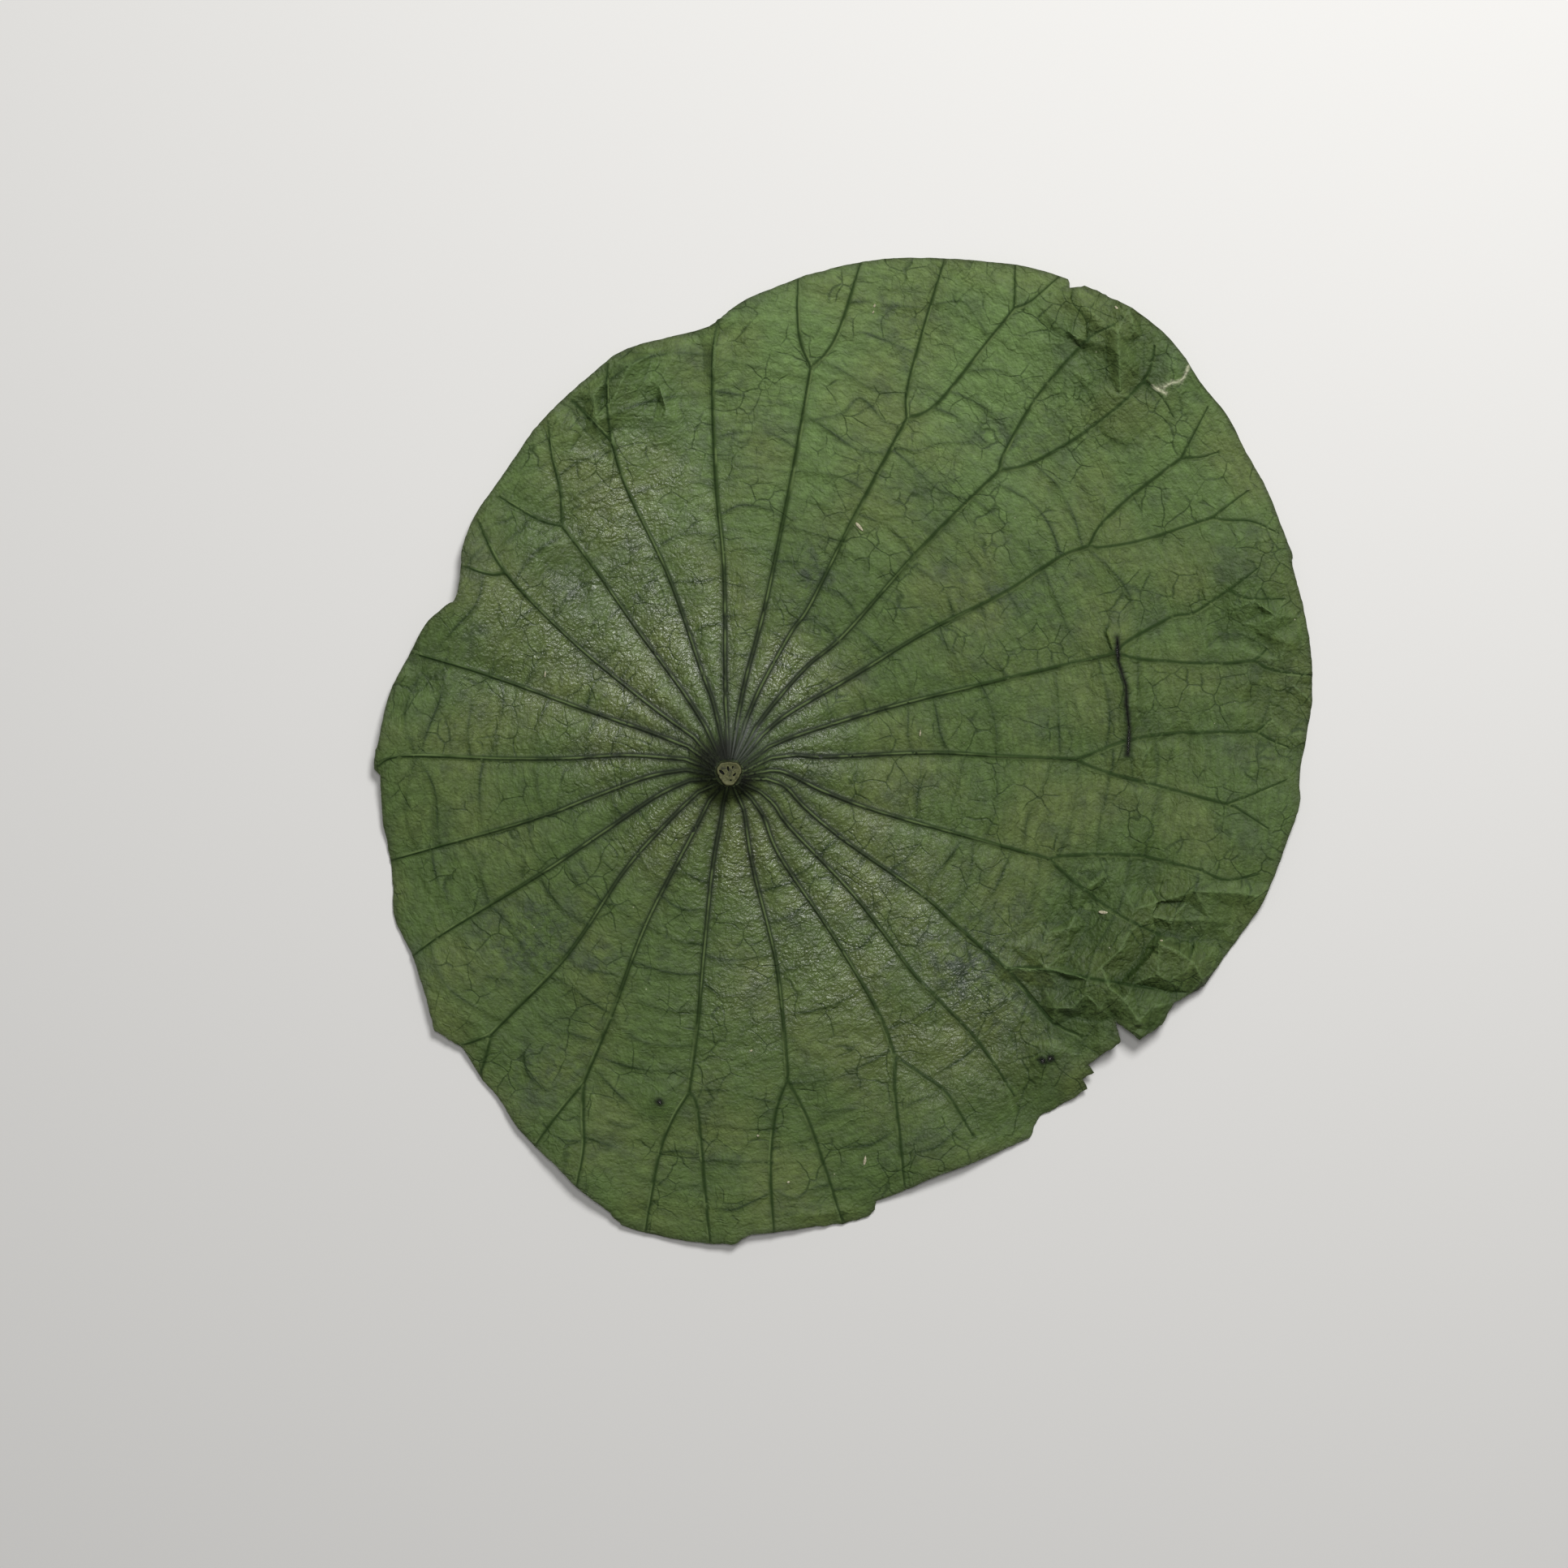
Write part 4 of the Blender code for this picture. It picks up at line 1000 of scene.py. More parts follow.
@dataclass
class Blade:
    """The blade with its veins, as one closed sheet."""

    plan: LeafPlan
    relief: Relief
    fill_step: float = 1.1
    under_step: float = 4.0
    row_offsets: tuple[float, ...] = (0.0, 0.4, 0.8, 1.25, 1.8)
    row_step: float = 1.0
    rows_clearance: float = 0.3
    name: str = "leaf_blade"

    def grid(self, step: float, seed: int) -> np.ndarray:
        """Rows of points over the whole leaf, each nudged a little, in mm from the hub."""
        low, high = self.plan.rim.min(axis=0), self.plan.rim.max(axis=0)
        rows = []
        for row, y in enumerate(np.arange(low[1], high[1], step * math.sqrt(3) / 2)):
            x = np.arange(low[0] + (row % 2) * step / 2, high[0], step)
            rows.append(np.stack([x, np.full(len(x), y)], axis=1))
        points = np.vstack(rows)
        return points + np.random.default_rng(seed).uniform(-0.16, 0.16, points.shape) * step

    def on_leaf(self, points: np.ndarray, margin: float) -> np.ndarray:
        """Leaves out the points that are off the leaf, in an opening or too near an edge.

        Args:
            points: rows of x and y in mm from the hub.
            margin: the least distance to the rim.

        Returns:
            The points that remain.
        """
        keep = inside(points, self.plan.rim)
        for loop in self.plan.openings:
            keep &= ~inside(points, loop)
        points = points[keep]
        gap, _, _ = self.relief.rim.near(points)
        return points[gap > margin]

    def rows_beside(self, line: np.ndarray, width: np.ndarray | float, offsets: tuple[float, ...]) -> list[np.ndarray]:
        """Rows of points along a line and on both sides of it.

        Args:
            line: the line's places.
            width: the half width at each place.
            offsets: how far out each row is, in half widths.

        Returns:
            The rows, the middle one first.
        """
        stride = max(1, round(self.row_step / self.plan.rank_step))
        run = np.gradient(line, axis=0)
        side = np.stack([-run[:, 1], run[:, 0]], axis=1)
        side /= np.maximum(np.linalg.norm(side, axis=1), 1e-9)[:, None]
        rows = []
        for offset in offsets:
            for sign in (1, -1) if offset else (1,):
                moved = line + side * (sign * offset * np.broadcast_to(width, len(line)))[:, None]
                rows.append(moved[::stride])
        return rows

    def triangles(self, loops: list[np.ndarray], loose: np.ndarray) -> tuple[np.ndarray, np.ndarray, list[list[int]]]:
        """Joins points to a net of triangles that keeps the loops.

        Args:
            loops: the rim and the openings.
            loose: all other points.

        Returns:
            The net's points, its triangles, and for each loop the numbers of its points.
        """
        start = 0
        edges: list[tuple[int, int]] = []
        for loop in loops:
            edges.extend((start + i, start + (i + 1) % len(loop)) for i in range(len(loop)))
            start += len(loop)
        flat = [Vector(point) for point in np.vstack([*loops, loose]).tolist()]
        found = delaunay_2d_cdt(flat, edges, [], 0, 1e-4, True)
        points = np.array([tuple(point) for point in found[0]])
        faces = np.array([face for face in found[2] if len(face) == 3])
        middle = points[faces].mean(axis=1)
        keep = inside(middle, loops[0])
        for loop in loops[1:]:
            keep &= ~inside(middle, loop)
        place = {old: new for new, olds in enumerate(found[3]) for old in olds}
        numbers, start = [], 0
        for loop in loops:
            numbers.append([place[start + i] for i in range(len(loop))])
            start += len(loop)
        faces = faces[keep]
        a, b, c = (points[faces[:, i]] for i in range(3))
        turned = (b[:, 0] - a[:, 0]) * (c[:, 1] - a[:, 1]) < (b[:, 1] - a[:, 1]) * (c[:, 0] - a[:, 0])
        faces[turned] = faces[turned][:, ::-1]
        return points, faces, numbers

    def upper_points(self) -> np.ndarray:
        """The loose points of the upper surface, close together where it bends sharply."""
        plan, step = self.plan, self.plan.rank_step
        sieve = Sieve(1.0)
        for loop in (plan.rim, *plan.openings):
            sieve.keep(loop, 0.01)
        veins = [row for item in plan.veins for row in self.rows_beside(item["line"], item["width"], self.row_offsets)]
        folds = [row for line in (*(places(route) for route, _, _ in CREASES), *self.relief.folds.folds())
                 for row in self.rows_beside(along(line, step, curved=False), 1.0, (0.0, 0.45))]
        laps = [row for route, _, _ in LAPS
                for row in self.rows_beside(along(places(route), step), 1.0, (0.0, 0.32, 0.7, 1.1))]
        scratch = self.rows_beside(along(places(SCRATCH), step, curved=False), 0.35, (0.0, 1.0))
        crossings = [row for line in plan.crossings for row in self.rows_beside(line, plan.cross_width, (0.0, 0.8))]
        found: list[tuple[float, float]] = []
        for rows, margin, clearance in (
            (veins, 0.4, self.rows_clearance), (folds, 0.4, 0.35), (laps, 0.3, 0.28), (scratch, 0.3, 0.28),
            (crossings, 0.4, 0.42), ([self.grid(self.fill_step, 3)], 0.5, 0.68),
        ):
            found.extend(sieve.keep(self.on_leaf(np.vstack(rows), margin), clearance))
        return np.array(found)

    def build(self) -> bpy.types.Object:
        """Builds the closed sheet with its marks and its UV map.

        Returns:
            The finished object, at the origin.
        """
        loops = [self.plan.rim, *self.plan.openings]
        top, top_faces, top_loops = self.triangles(loops, self.upper_points())
        turn = np.arange(24) * 2 * math.pi / 24
        rings = [
            np.stack([np.cos(turn), np.sin(turn)], axis=1) * r + STUB_OFFSET * (CONE_FOOT - r) / CONE_FOOT
            for r in (2.5, 4.3, 6, 8, 10, 13, 16)
        ]
        under = self.on_leaf(self.grid(self.under_step, 5), 2.0)
        under = under[np.hypot(*under.T) > 18]
        low, low_faces, low_loops = self.triangles(loops, np.vstack([*rings, under]))
        heights = np.concatenate([self.relief.upper_height(top), self.relief.under(low)])
        plan = np.vstack([top, low]) - self.plan.centre
        points = np.column_stack([plan, heights]) * MM
        faces = [*top_faces.tolist(), *(low_faces[:, ::-1] + len(top)).tolist()]
        area = [float(np.cross(loop, np.roll(loop, -1, axis=0)).sum()) for loop in loops]
        for number, (above, below) in enumerate(zip(top_loops, low_loops)):
            outwards = (area[number] > 0) == (number == 0)
            for a, b, c, d in zip(above, above[1:] + above[:1], below[1:] + below[:1], below):
                c, d = c + len(top), d + len(top)
                faces.append([d, c, b, a] if outwards else [a, b, c, d])
        mesh = bpy.data.meshes.new(self.name)
        mesh.from_pydata(points.tolist(), [], faces)
        mesh.validate()
        for mark, values in self.relief.marks.items():
            layer = mesh.attributes.new(mark, "FLOAT", "POINT")
            layer.data.foreach_set("value", np.concatenate([values, np.zeros(len(low))]).astype(np.float32))
        corners = np.empty(len(mesh.loops), np.int32)
        mesh.loops.foreach_get("vertex_index", corners)
        uv = mesh.uv_layers.new(name="leaf")
        uv.data.foreach_set("uv", (points[corners][:, :2] / 0.32 + 0.5).astype(np.float32).ravel())
        sheet = bpy.data.objects.new(self.name, mesh)
        bpy.context.scene.collection.objects.link(sheet)
        select_only(sheet)
        bpy.ops.object.shade_smooth_by_angle(angle=math.radians(50))
        return sheet


def select_only(piece: bpy.types.Object) -> None:
    """Selects one object and nothing else, and makes it the active one."""
    bpy.ops.object.select_all(action="DESELECT")
    piece.select_set(True)
    bpy.context.view_layer.objects.active = piece


@dataclass
class Stub:
    """The short cut end of the stalk, with its air channels, in mm."""

    plan: LeafPlan
    relief: Relief
    sides: int = 72
    sink: float = 1.2
    draft: float = 0.3
    steps: tuple[tuple[float, float], ...] = (
        (0.985, 0.06), (0.965, 0.03), (0.93, 0.0), (0.95, -0.09), (0.93, -0.08), (0.75, -0.02), (0.6, 0.02), (0.5, 0.0),
    )
    channel_depth: float = 1.9
    name: str = "stalk_stub"

    def build(self) -> bpy.types.Object:
        """Builds the stub from a cylinder, shaped in edit mode, with its channels cut by Booleans.

        Returns:
            The finished object, at the origin.
        """
        neck = float(self.relief.upper_height(STUB_OFFSET[None])[0])
        centre = (STUB_OFFSET - self.plan.centre) * MM
        depth = (STUB_RISE + self.sink) * MM
        top = (neck + STUB_RISE) * MM
        bpy.ops.object.select_all(action="DESELECT")
        bpy.ops.mesh.primitive_cylinder_add(
            vertices=self.sides, radius=MM, depth=depth, location=(*centre, top - depth / 2), end_fill_type="NGON",
        )
        piece = bpy.context.object
        piece.name = piece.data.name = self.name
        select_only(piece)
        bpy.ops.object.transform_apply(location=True, rotation=True, scale=True)
        bpy.ops.object.mode_set(mode="EDIT")
        bpy.ops.mesh.select_mode(type="FACE")
        bpy.ops.mesh.select_all(action="DESELECT")
        mesh = bmesh.from_edit_mesh(piece.data)
        self.shape_wall(mesh, centre)
        face = max(mesh.faces, key=lambda face: face.calc_center_median().z)
        face.select = True
        mesh.faces.active = face
        bmesh.update_edit_mesh(piece.data)
        for share, rise in self.steps:
            bpy.ops.mesh.extrude_region_move()
            bpy.ops.transform.resize(value=(share, share, 1), center_override=(*centre, top))
            bpy.ops.transform.translate(value=(0, 0, rise * MM))
        bpy.ops.object.mode_set(mode="OBJECT")
        for number, (place, length, width, turn) in enumerate(CHANNELS):
            self.cut_channel(piece, number, place, length, width, turn, neck)
        self.roughen(piece, centre)
        select_only(piece)
        piece.data.materials.clear()
        bpy.ops.object.shade_smooth_by_angle(angle=math.radians(40))
        return piece

    def shape_wall(self, mesh: bmesh.types.BMesh, centre: np.ndarray) -> None:
        """Draws the round wall out to three soft corners, and flares it at the foot.

        Args:
            mesh: the cylinder in edit mode.
            centre: the stub's middle in metres.
        """
        low = min(vert.co.z for vert in mesh.verts)
        for vert in mesh.verts:
            offset = np.array(vert.co.xy) - centre
            bearing = math.atan2(offset[1], offset[0])
            corner = math.cos(3 * (bearing - math.radians(STUB_CORNER_BEARING)))
            radius = STUB_RADIUS * (1 + STUB_CORNER * corner)
            radius += 0.06 * math.sin(9 * bearing) + 0.05 * math.sin(14 * bearing + 1)
            if vert.co.z < low + 0.1 * MM:
                radius += self.draft + 0.25
            vert.co.x = centre[0] + math.cos(bearing) * radius * MM
            vert.co.y = centre[1] + math.sin(bearing) * radius * MM

    def cut_channel(
        self,
        piece: bpy.types.Object,
        number: int,
        place: tuple[float, float],
        length: float,
        width: float,
        turn: float,
        neck: float,
    ) -> None:
        """Cuts one air channel into the cut face.

        Args:
            piece: the stub.
            number: the channel's number.
            place: its middle, from the stub's middle in mm.
            length: its length in mm.
            width: its width in mm.
            turn: its turn in degrees.
            neck: the height of the stub's foot in mm.
        """
        middle = (STUB_OFFSET + np.array(place) - self.plan.centre) * MM
        high = (neck + STUB_RISE + 1) * MM
        depth = (self.channel_depth + 1) * MM
        bpy.ops.object.select_all(action="DESELECT")
        bpy.ops.mesh.primitive_cylinder_add(
            vertices=20, radius=MM / 2, depth=depth, location=(*middle, high - depth / 2)
        )
        cutter = bpy.context.object
        cutter.name = f"channel_cutter_{number}"
        cutter.scale = (length, width, 1)
        cutter.rotation_euler = (0, 0, math.radians(turn))
        select_only(cutter)
        bpy.ops.object.transform_apply(location=True, rotation=True, scale=True)
        select_only(piece)
        cut = piece.modifiers.new("channel", "BOOLEAN")
        cut.operation = "DIFFERENCE"
        cut.solver = "MANIFOLD"
        cut.object = cutter
        bpy.ops.object.modifier_apply(modifier=cut.name)
        bpy.data.objects.remove(cutter)

    def roughen(self, piece: bpy.types.Object, centre: np.ndarray) -> None:
        """Makes the cut face slightly uneven, as a knife leaves it."""
        top = max(vert.co.z for vert in piece.data.vertices)
        for vert in piece.data.vertices:
            if vert.co.z > top - 0.5 * MM:
                x, y = (np.array(vert.co.xy) - centre) / MM
                vert.co.z += 0.09 * MM * noise.noise(Vector((x * 0.9, y * 0.9, 3.0)))
                vert.co.z += 0.04 * x * MM / STUB_RADIUS


# Dry crumbs on the blade: distance in mm, bearing, turn in degrees, length, width and height in mm
CRUMBS = (
    (82.0, 61.0, -50, 3.6, 1.0, 0.5),
    (59.0, 8.7, 84, 2.0, 0.5, 0.3),
    (62.0, 154.3, 84, 2.0, 0.5, 0.3),
    (123.0, -21.8, -6, 3.6, 1.0, 0.5),
    (128.0, -71.1, 80, 3.0, 0.9, 0.45),
    (181.0, 49.5, -40, 1.6, 0.7, 0.3),
    (146.0, 72.3, 70, 1.2, 0.6, 0.3),
    (144.0, 72.2, 60, 1.0, 0.5, 0.3),
    (129.0, -81.9, 20, 0.9, 0.7, 0.3),
    (114.0, -85.5, 0, 0.8, 0.7, 0.3),
    (88.0, -85.5, 30, 0.9, 0.6, 0.3),
    (142.0, -22.4, 10, 1.0, 0.8, 0.35),
)


@dataclass
class Crumbs:
    """Slivers of dry skin and dust that lie on the blade."""

    plan: LeafPlan
    relief: Relief
    name: str = "dry_crumbs"

    def build(self) -> bpy.types.Object:
        """Builds all the crumbs from one ball each, drawn out, bent and pinched, and joins them.

        Returns:
            The finished object, at the origin.
        """
        made = [self.crumb(number, row) for number, row in enumerate(CRUMBS)]
        bpy.ops.object.select_all(action="DESELECT")
        for crumb in made:
            crumb.select_set(True)
        bpy.context.view_layer.objects.active = made[0]
        bpy.ops.object.join()
        piece = bpy.context.object
        piece.name = piece.data.name = self.name
        bpy.ops.object.transform_apply(location=True, rotation=True, scale=True)
        bpy.ops.object.shade_smooth()
        return piece

    def crumb(self, number: int, row: tuple[float, float, float, float, float, float]) -> bpy.types.Object:
        """Builds one crumb.

        Args:
            number: its number, which also picks its shape.
            row: its row of the table.

        Returns:
            The crumb, with its place in its mesh.
        """
        distance, bearing, turn, length, width, height = row
        point = from_hub(distance, bearing)
        ground = float(self.relief.upper_height(point[None])[0])
        place = (point - self.plan.centre) * MM
        bpy.ops.object.select_all(action="DESELECT")
        bpy.ops.mesh.primitive_uv_sphere_add(segments=14, ring_count=9, radius=MM / 2)
        crumb = bpy.context.object
        crumb.name = f"crumb_{number}"
        for vert in crumb.data.vertices:
            x, y, z = vert.co / (MM / 2)
            pinch = 1 - 0.45 * max(0.0, x)
            bend = 0.22 * x * x
            rough = 1 + 0.35 * noise.noise(Vector((x * 1.3 + number, y * 1.3, z * 1.3)))
            vert.co = (x * length / 2 * MM, (y * pinch * rough + bend) * width / 2 * MM, z * rough * height / 2 * MM)
        crumb.rotation_euler = (0, 0, math.radians(turn))
        crumb.location = (*place, (ground + height * 0.3) * MM)
        select_only(crumb)
        bpy.ops.object.transform_apply(location=True, rotation=True, scale=True)
        return crumb


class Graph:
    """One material's nodes, built up call by call."""

    def __init__(self, name: str) -> None:
        """Makes the material with its Principled shader."""
        self.material = bpy.data.materials.new(name)
        self.material.use_nodes = True
        self.tree = self.material.node_tree
        self.shader = self.tree.nodes["Principled BSDF"]

    def put(self, socket: bpy.types.NodeSocket, value: object) -> None:
        """Links a socket to an output, or sets it to a plain value."""
        if isinstance(value, bpy.types.NodeSocket):
            self.tree.links.new(value, socket)
        elif isinstance(value, tuple) and len(value) == 3 and socket.type == "RGBA":
            socket.default_value = (*value, 1.0)
        else:
            socket.default_value = value

    def math(self, operation: str, a: object, b: object = 0.0, clamp: bool = False) -> bpy.types.NodeSocket:
        """Works out one number from two.

        Args:
            operation: the Math node's operation.
            a: the first number or socket.
            b: the second number or socket.
            clamp: whether the result stays between 0 and 1.

        Returns:
            The result's socket.
        """
        node = self.tree.nodes.new("ShaderNodeMath")
        node.operation = operation
        node.use_clamp = clamp
        self.put(node.inputs[0], a)
        self.put(node.inputs[1], b)
        return node.outputs[0]

    def vector(self, operation: str, a: object, b: object = None) -> bpy.types.Node:
        """A Vector Math node with its first inputs set."""
        node = self.tree.nodes.new("ShaderNodeVectorMath")
        node.operation = operation
        self.put(node.inputs[0], a)
        if b is not None:
            self.put(node.inputs["Scale"] if operation == "SCALE" else node.inputs[1], b)
        return node

    def attribute(self, name: str) -> bpy.types.NodeSocket:
        """The socket of one of the blade's marks."""
        node = self.tree.nodes.new("ShaderNodeAttribute")
        node.attribute_name = name
        return node.outputs["Fac"]

    def noise(self, where: object, scale: float, detail: float = 3.0, rough: float = 0.5) -> bpy.types.NodeSocket:
        """Soft noise.

        Args:
            where: the coordinates.
            scale: how many lumps there are to a unit of the coordinates.
            detail: how many finer layers lie on top.
            rough: how strong those are.

        Returns:
            The noise's socket, about 0.5 on average.
        """
        node = self.tree.nodes.new("ShaderNodeTexNoise")
        self.put(node.inputs["Vector"], where)
        node.inputs["Scale"].default_value = scale
        node.inputs["Detail"].default_value = detail
        node.inputs["Roughness"].default_value = rough
        return node.outputs["Fac"]

    def noise_vector(self, where: object, scale: float) -> bpy.types.NodeSocket:
        """Soft noise in three numbers, each from about -0.5 to 0.5."""
        node = self.tree.nodes.new("ShaderNodeTexNoise")
        self.put(node.inputs["Vector"], where)
        node.inputs["Scale"].default_value = scale
        return self.vector("SUBTRACT", node.outputs["Color"], (0.5, 0.5, 0.5)).outputs["Vector"]

    def cells(self, where: object, scale: float, feature: str = "F1") -> bpy.types.Node:
        """A Voronoi node."""
        node = self.tree.nodes.new("ShaderNodeTexVoronoi")
        node.feature = feature
        self.put(node.inputs["Vector"], where)
        node.inputs["Scale"].default_value = scale
        return node

    def span(self, value: object, low: float, high: float, to: tuple[float, float] = (0.0, 1.0)) -> bpy.types.NodeSocket:
        """Maps a number smoothly from one range to another.

        Args:
            value: the number or socket.
            low: what becomes the first end.
            high: what becomes the second end.
            to: the two ends.

        Returns:
            The result's socket.
        """
        node = self.tree.nodes.new("ShaderNodeMapRange")
        node.interpolation_type = "SMOOTHSTEP"
        self.put(node.inputs["Value"], value)
        node.inputs["From Min"].default_value = low
        node.inputs["From Max"].default_value = high
        node.inputs["To Min"].default_value = to[0]
        node.inputs["To Max"].default_value = to[1]
        return node.outputs["Result"]

    def mix(self, share: object, a: object, b: object, blend: str = "MIX") -> bpy.types.NodeSocket:
        """Mixes two colours.

        Args:
            share: how much of the second one there is.
            a: the first colour.
            b: the second colour.
            blend: how they are put together.

        Returns:
            The mixed colour's socket.
        """
        node = self.tree.nodes.new("ShaderNodeMix")
        node.data_type = "RGBA"
        node.blend_type = blend
        self.put(node.inputs[0], share)
        self.put(node.inputs[6], a)
        self.put(node.inputs[7], b)
        return node.outputs[2]

    def bump(self, height: object, distance: float, strength: float = 1.0) -> None:
        """Raises the surface's small detail.

        Args:
            height: the height's socket, 0 to 1.
            distance: how far 1 stands up, in metres.
            strength: how much of it shows.
        """
        node = self.tree.nodes.new("ShaderNodeBump")
        node.inputs["Distance"].default_value = distance
        node.inputs["Strength"].default_value = strength
        self.put(node.inputs["Height"], height)
        self.put(self.shader.inputs["Normal"], node.outputs["Normal"])


def from_hub_in_mm(graph: Graph, plan: LeafPlan) -> bpy.types.NodeSocket:
    """Coordinates in mm that start at the hub, from the piece's Object coordinates."""
    where = graph.tree.nodes.new("ShaderNodeTexCoord")
    shift = graph.tree.nodes.new("ShaderNodeMapping")
    shift.inputs["Scale"].default_value = (1000, 1000, 1000)
    shift.inputs["Location"].default_value = (plan.centre[0], plan.centre[1], 0)
    graph.put(shift.inputs["Vector"], where.outputs["Object"])
    return shift.outputs["Vector"]


@dataclass(frozen=True)
class SkinFinish:
    """The leaf's skin: waxy green with dark veins, grained near the stalk and duller towards the rim."""

    sage: Colour = (0.072, 0.118, 0.030)
    # pale is laid on towards the top: partly the skin's own paler tone and partly painted light from above
    pale: Colour = (0.110, 0.178, 0.052)
    # fresh: the yellow-green of the skin near the stalk, also laid on as a painted sheen where the skin is waxy
    fresh: Colour = (0.108, 0.142, 0.040)
    slate: Colour = (0.044, 0.063, 0.035)
    net: Colour = (0.014, 0.032, 0.005)
    vein: Colour = (0.012, 0.031, 0.004)
    hub_vein: Colour = (0.007, 0.010, 0.008)
    # crest: the colour of the painted highlight on the veins' lit flank
    crest: Colour = (0.160, 0.225, 0.080)
    # the colour of the painted light on the crests of the folds
    painted_fold_highlight: Colour = (0.150, 0.230, 0.085)
    edge: Colour = (0.030, 0.038, 0.016)
    # neck: near-black for the painted shadow round the stub and the painted shade in the crack and the holes
    neck: Colour = (0.008, 0.009, 0.006)
    # the grey of the painted sheen on the cone beside the stub
    painted_cone_sheen: Colour = (0.070, 0.078, 0.066)
    scar: Colour = (0.55, 0.55, 0.38)
    matte: float = 0.62
    satin: float = 0.4
    wax: float = 0.27
    specular: float = 0.26

    def material(self, plan: LeafPlan) -> bpy.types.Material:
        """Builds the material.

        Args:
            plan: the leaf's plan, for where the hub is.

        Returns:
            The material.
        """
        graph = Graph("waxy_leaf_skin")
        mm = from_hub_in_mm(graph, plan)
        flat = graph.vector("MULTIPLY", mm, (1, 1, 0)).outputs["Vector"]
        reach = graph.vector("LENGTH", flat).outputs["Value"]
        spoke = graph.vector("NORMALIZE", flat).outputs["Vector"]
        patches = graph.span(graph.noise(flat, 0.09, 3), 0.34, 0.6, (0.45, 1.0))
        gloss = graph.math("MULTIPLY", graph.attribute("gloss"), patches, clamp=True)
        graph.put(graph.shader.inputs["Base Color"], self.colour(graph, flat, reach, spoke, gloss))
        dull = graph.span(gloss, 0.0, 0.8, (self.matte, self.satin))
        rough = graph.math("MAXIMUM", graph.attribute("vein"), graph.math("MAXIMUM", graph.attribute(
            "dark"), graph.attribute("painted_opening_shade")))
        uneven = graph.math("ADD", graph.span(graph.noise(flat, 0.5, 4), 0.3, 0.7, (-0.06, 0.06)),
                            graph.math("MULTIPLY", rough, 0.3))
        graph.put(graph.shader.inputs["Roughness"], graph.math("ADD", dull, uneven, clamp=True))
        graph.shader.inputs["Specular IOR Level"].default_value = self.specular
        graph.put(graph.shader.inputs["Coat Weight"], graph.math("MULTIPLY", gloss, graph.span(
            rough, 0.0, 0.6, (1.0, 0.2))))
        graph.shader.inputs["Coat Roughness"].default_value = self.wax
        graph.bump(self.height(graph, flat, reach, spoke, gloss), MM)
        bumped = graph.shader.inputs["Normal"].links[0].from_socket
        graph.put(graph.shader.inputs["Coat Normal"], bumped)
        return graph.material

    def ripples(
        self, graph: Graph, reach: object, spoke: object, spokes: float, pitch: float, detail: float
    ) -> bpy.types.NodeSocket:
        """Noise drawn out into ripples round the hub.

        Args:
            graph: the material's nodes.
            reach: the distance from the hub in mm.
            spoke: the direction from the hub.
            spokes: how often it changes, per radian.
            pitch: how far apart the ripples are, in mm.
            detail: how many finer layers lie on top.

        Returns:
            The noise's socket.
        """
        across = graph.vector("SCALE", spoke, spokes).outputs["Vector"]
        up = graph.tree.nodes.new("ShaderNodeCombineXYZ")
        graph.put(up.inputs["Z"], graph.math("DIVIDE", reach, pitch))
        where = graph.vector("ADD", across, up.outputs["Vector"]).outputs["Vector"]
        return graph.noise(where, 1.0, detail, 0.55)

    def colour(self, graph: Graph, flat: object, reach: object, spoke: object, gloss: object) -> bpy.types.NodeSocket:
        """The skin's colour.

        Args:
            graph: the material's nodes.
            flat: the place in mm from the hub.
            reach: the distance from the hub in mm.
            spoke: the direction from the hub.
            gloss: where the skin is grained and waxy, and where its colour is lightened as a painted sheen.

        Returns:
            The colour's socket.
        """
        vein, cross = graph.attribute("vein"), graph.attribute("cross")
        # yellow-green: partly a random tone of the skin and partly a painted sheen where the skin is waxy
        yellow_tone_and_painted_sheen = graph.math("ADD", graph.math("MULTIPLY", gloss, 0.7),
                            graph.span(graph.noise(flat, 0.03, 3), 0.4, 0.66, (0.0, 0.7)), clamp=True)
        split = graph.tree.nodes.new("ShaderNodeSeparateXYZ")
        graph.put(split.inputs[0], graph.vector("ADD", flat, graph.vector(
            "SCALE", graph.noise_vector(flat, 0.02), 90.0).outputs["Vector"]).outputs["Vector"])
        # lighter towards the top: partly the skin's own paler tone and partly painted light from above
        light = graph.span(split.outputs["Y"], 45, 120)
        base = graph.mix(light, self.sage, self.pale)
        base = graph.mix(yellow_tone_and_painted_sheen, base, self.fresh)
        clouds = graph.span(graph.noise(flat, 0.055, 5, 0.65), 0.5, 0.7, (0.0, 0.5))
        spots = graph.math("MULTIPLY", graph.attribute("smudge"), graph.span(graph.noise(flat, 0.22, 4, 0.7), 0.4, 0.62))
        base = graph.mix(graph.math("ADD", clouds, spots, clamp=True), base, self.slate)
        base = graph.mix(graph.math("MULTIPLY", graph.attribute("crumple"), 0.45), base, self.net)
        mottle = graph.span(graph.noise(flat, 0.33, 5, 0.62), 0.25, 0.75, (0.78, 1.2))
        fibre = graph.span(self.ripples(graph, reach, spoke, 16, 1.3, 3), 0.3, 0.7, (0.86, 1.13))
        base = graph.vector("SCALE", base, graph.math("MULTIPLY", mottle, fibre)).outputs["Vector"]
        wide, fine = self.crackle(graph, flat)
        base = graph.mix(graph.math("MULTIPLY", wide, 0.7), base, self.net)
        base = graph.mix(graph.math("MULTIPLY", fine, 0.35), base, self.net)
        base = graph.mix(cross, base, self.net)
        deep = graph.mix(graph.span(reach, 30, 85, (1.0, 0.0)), self.vein, self.hub_vein)
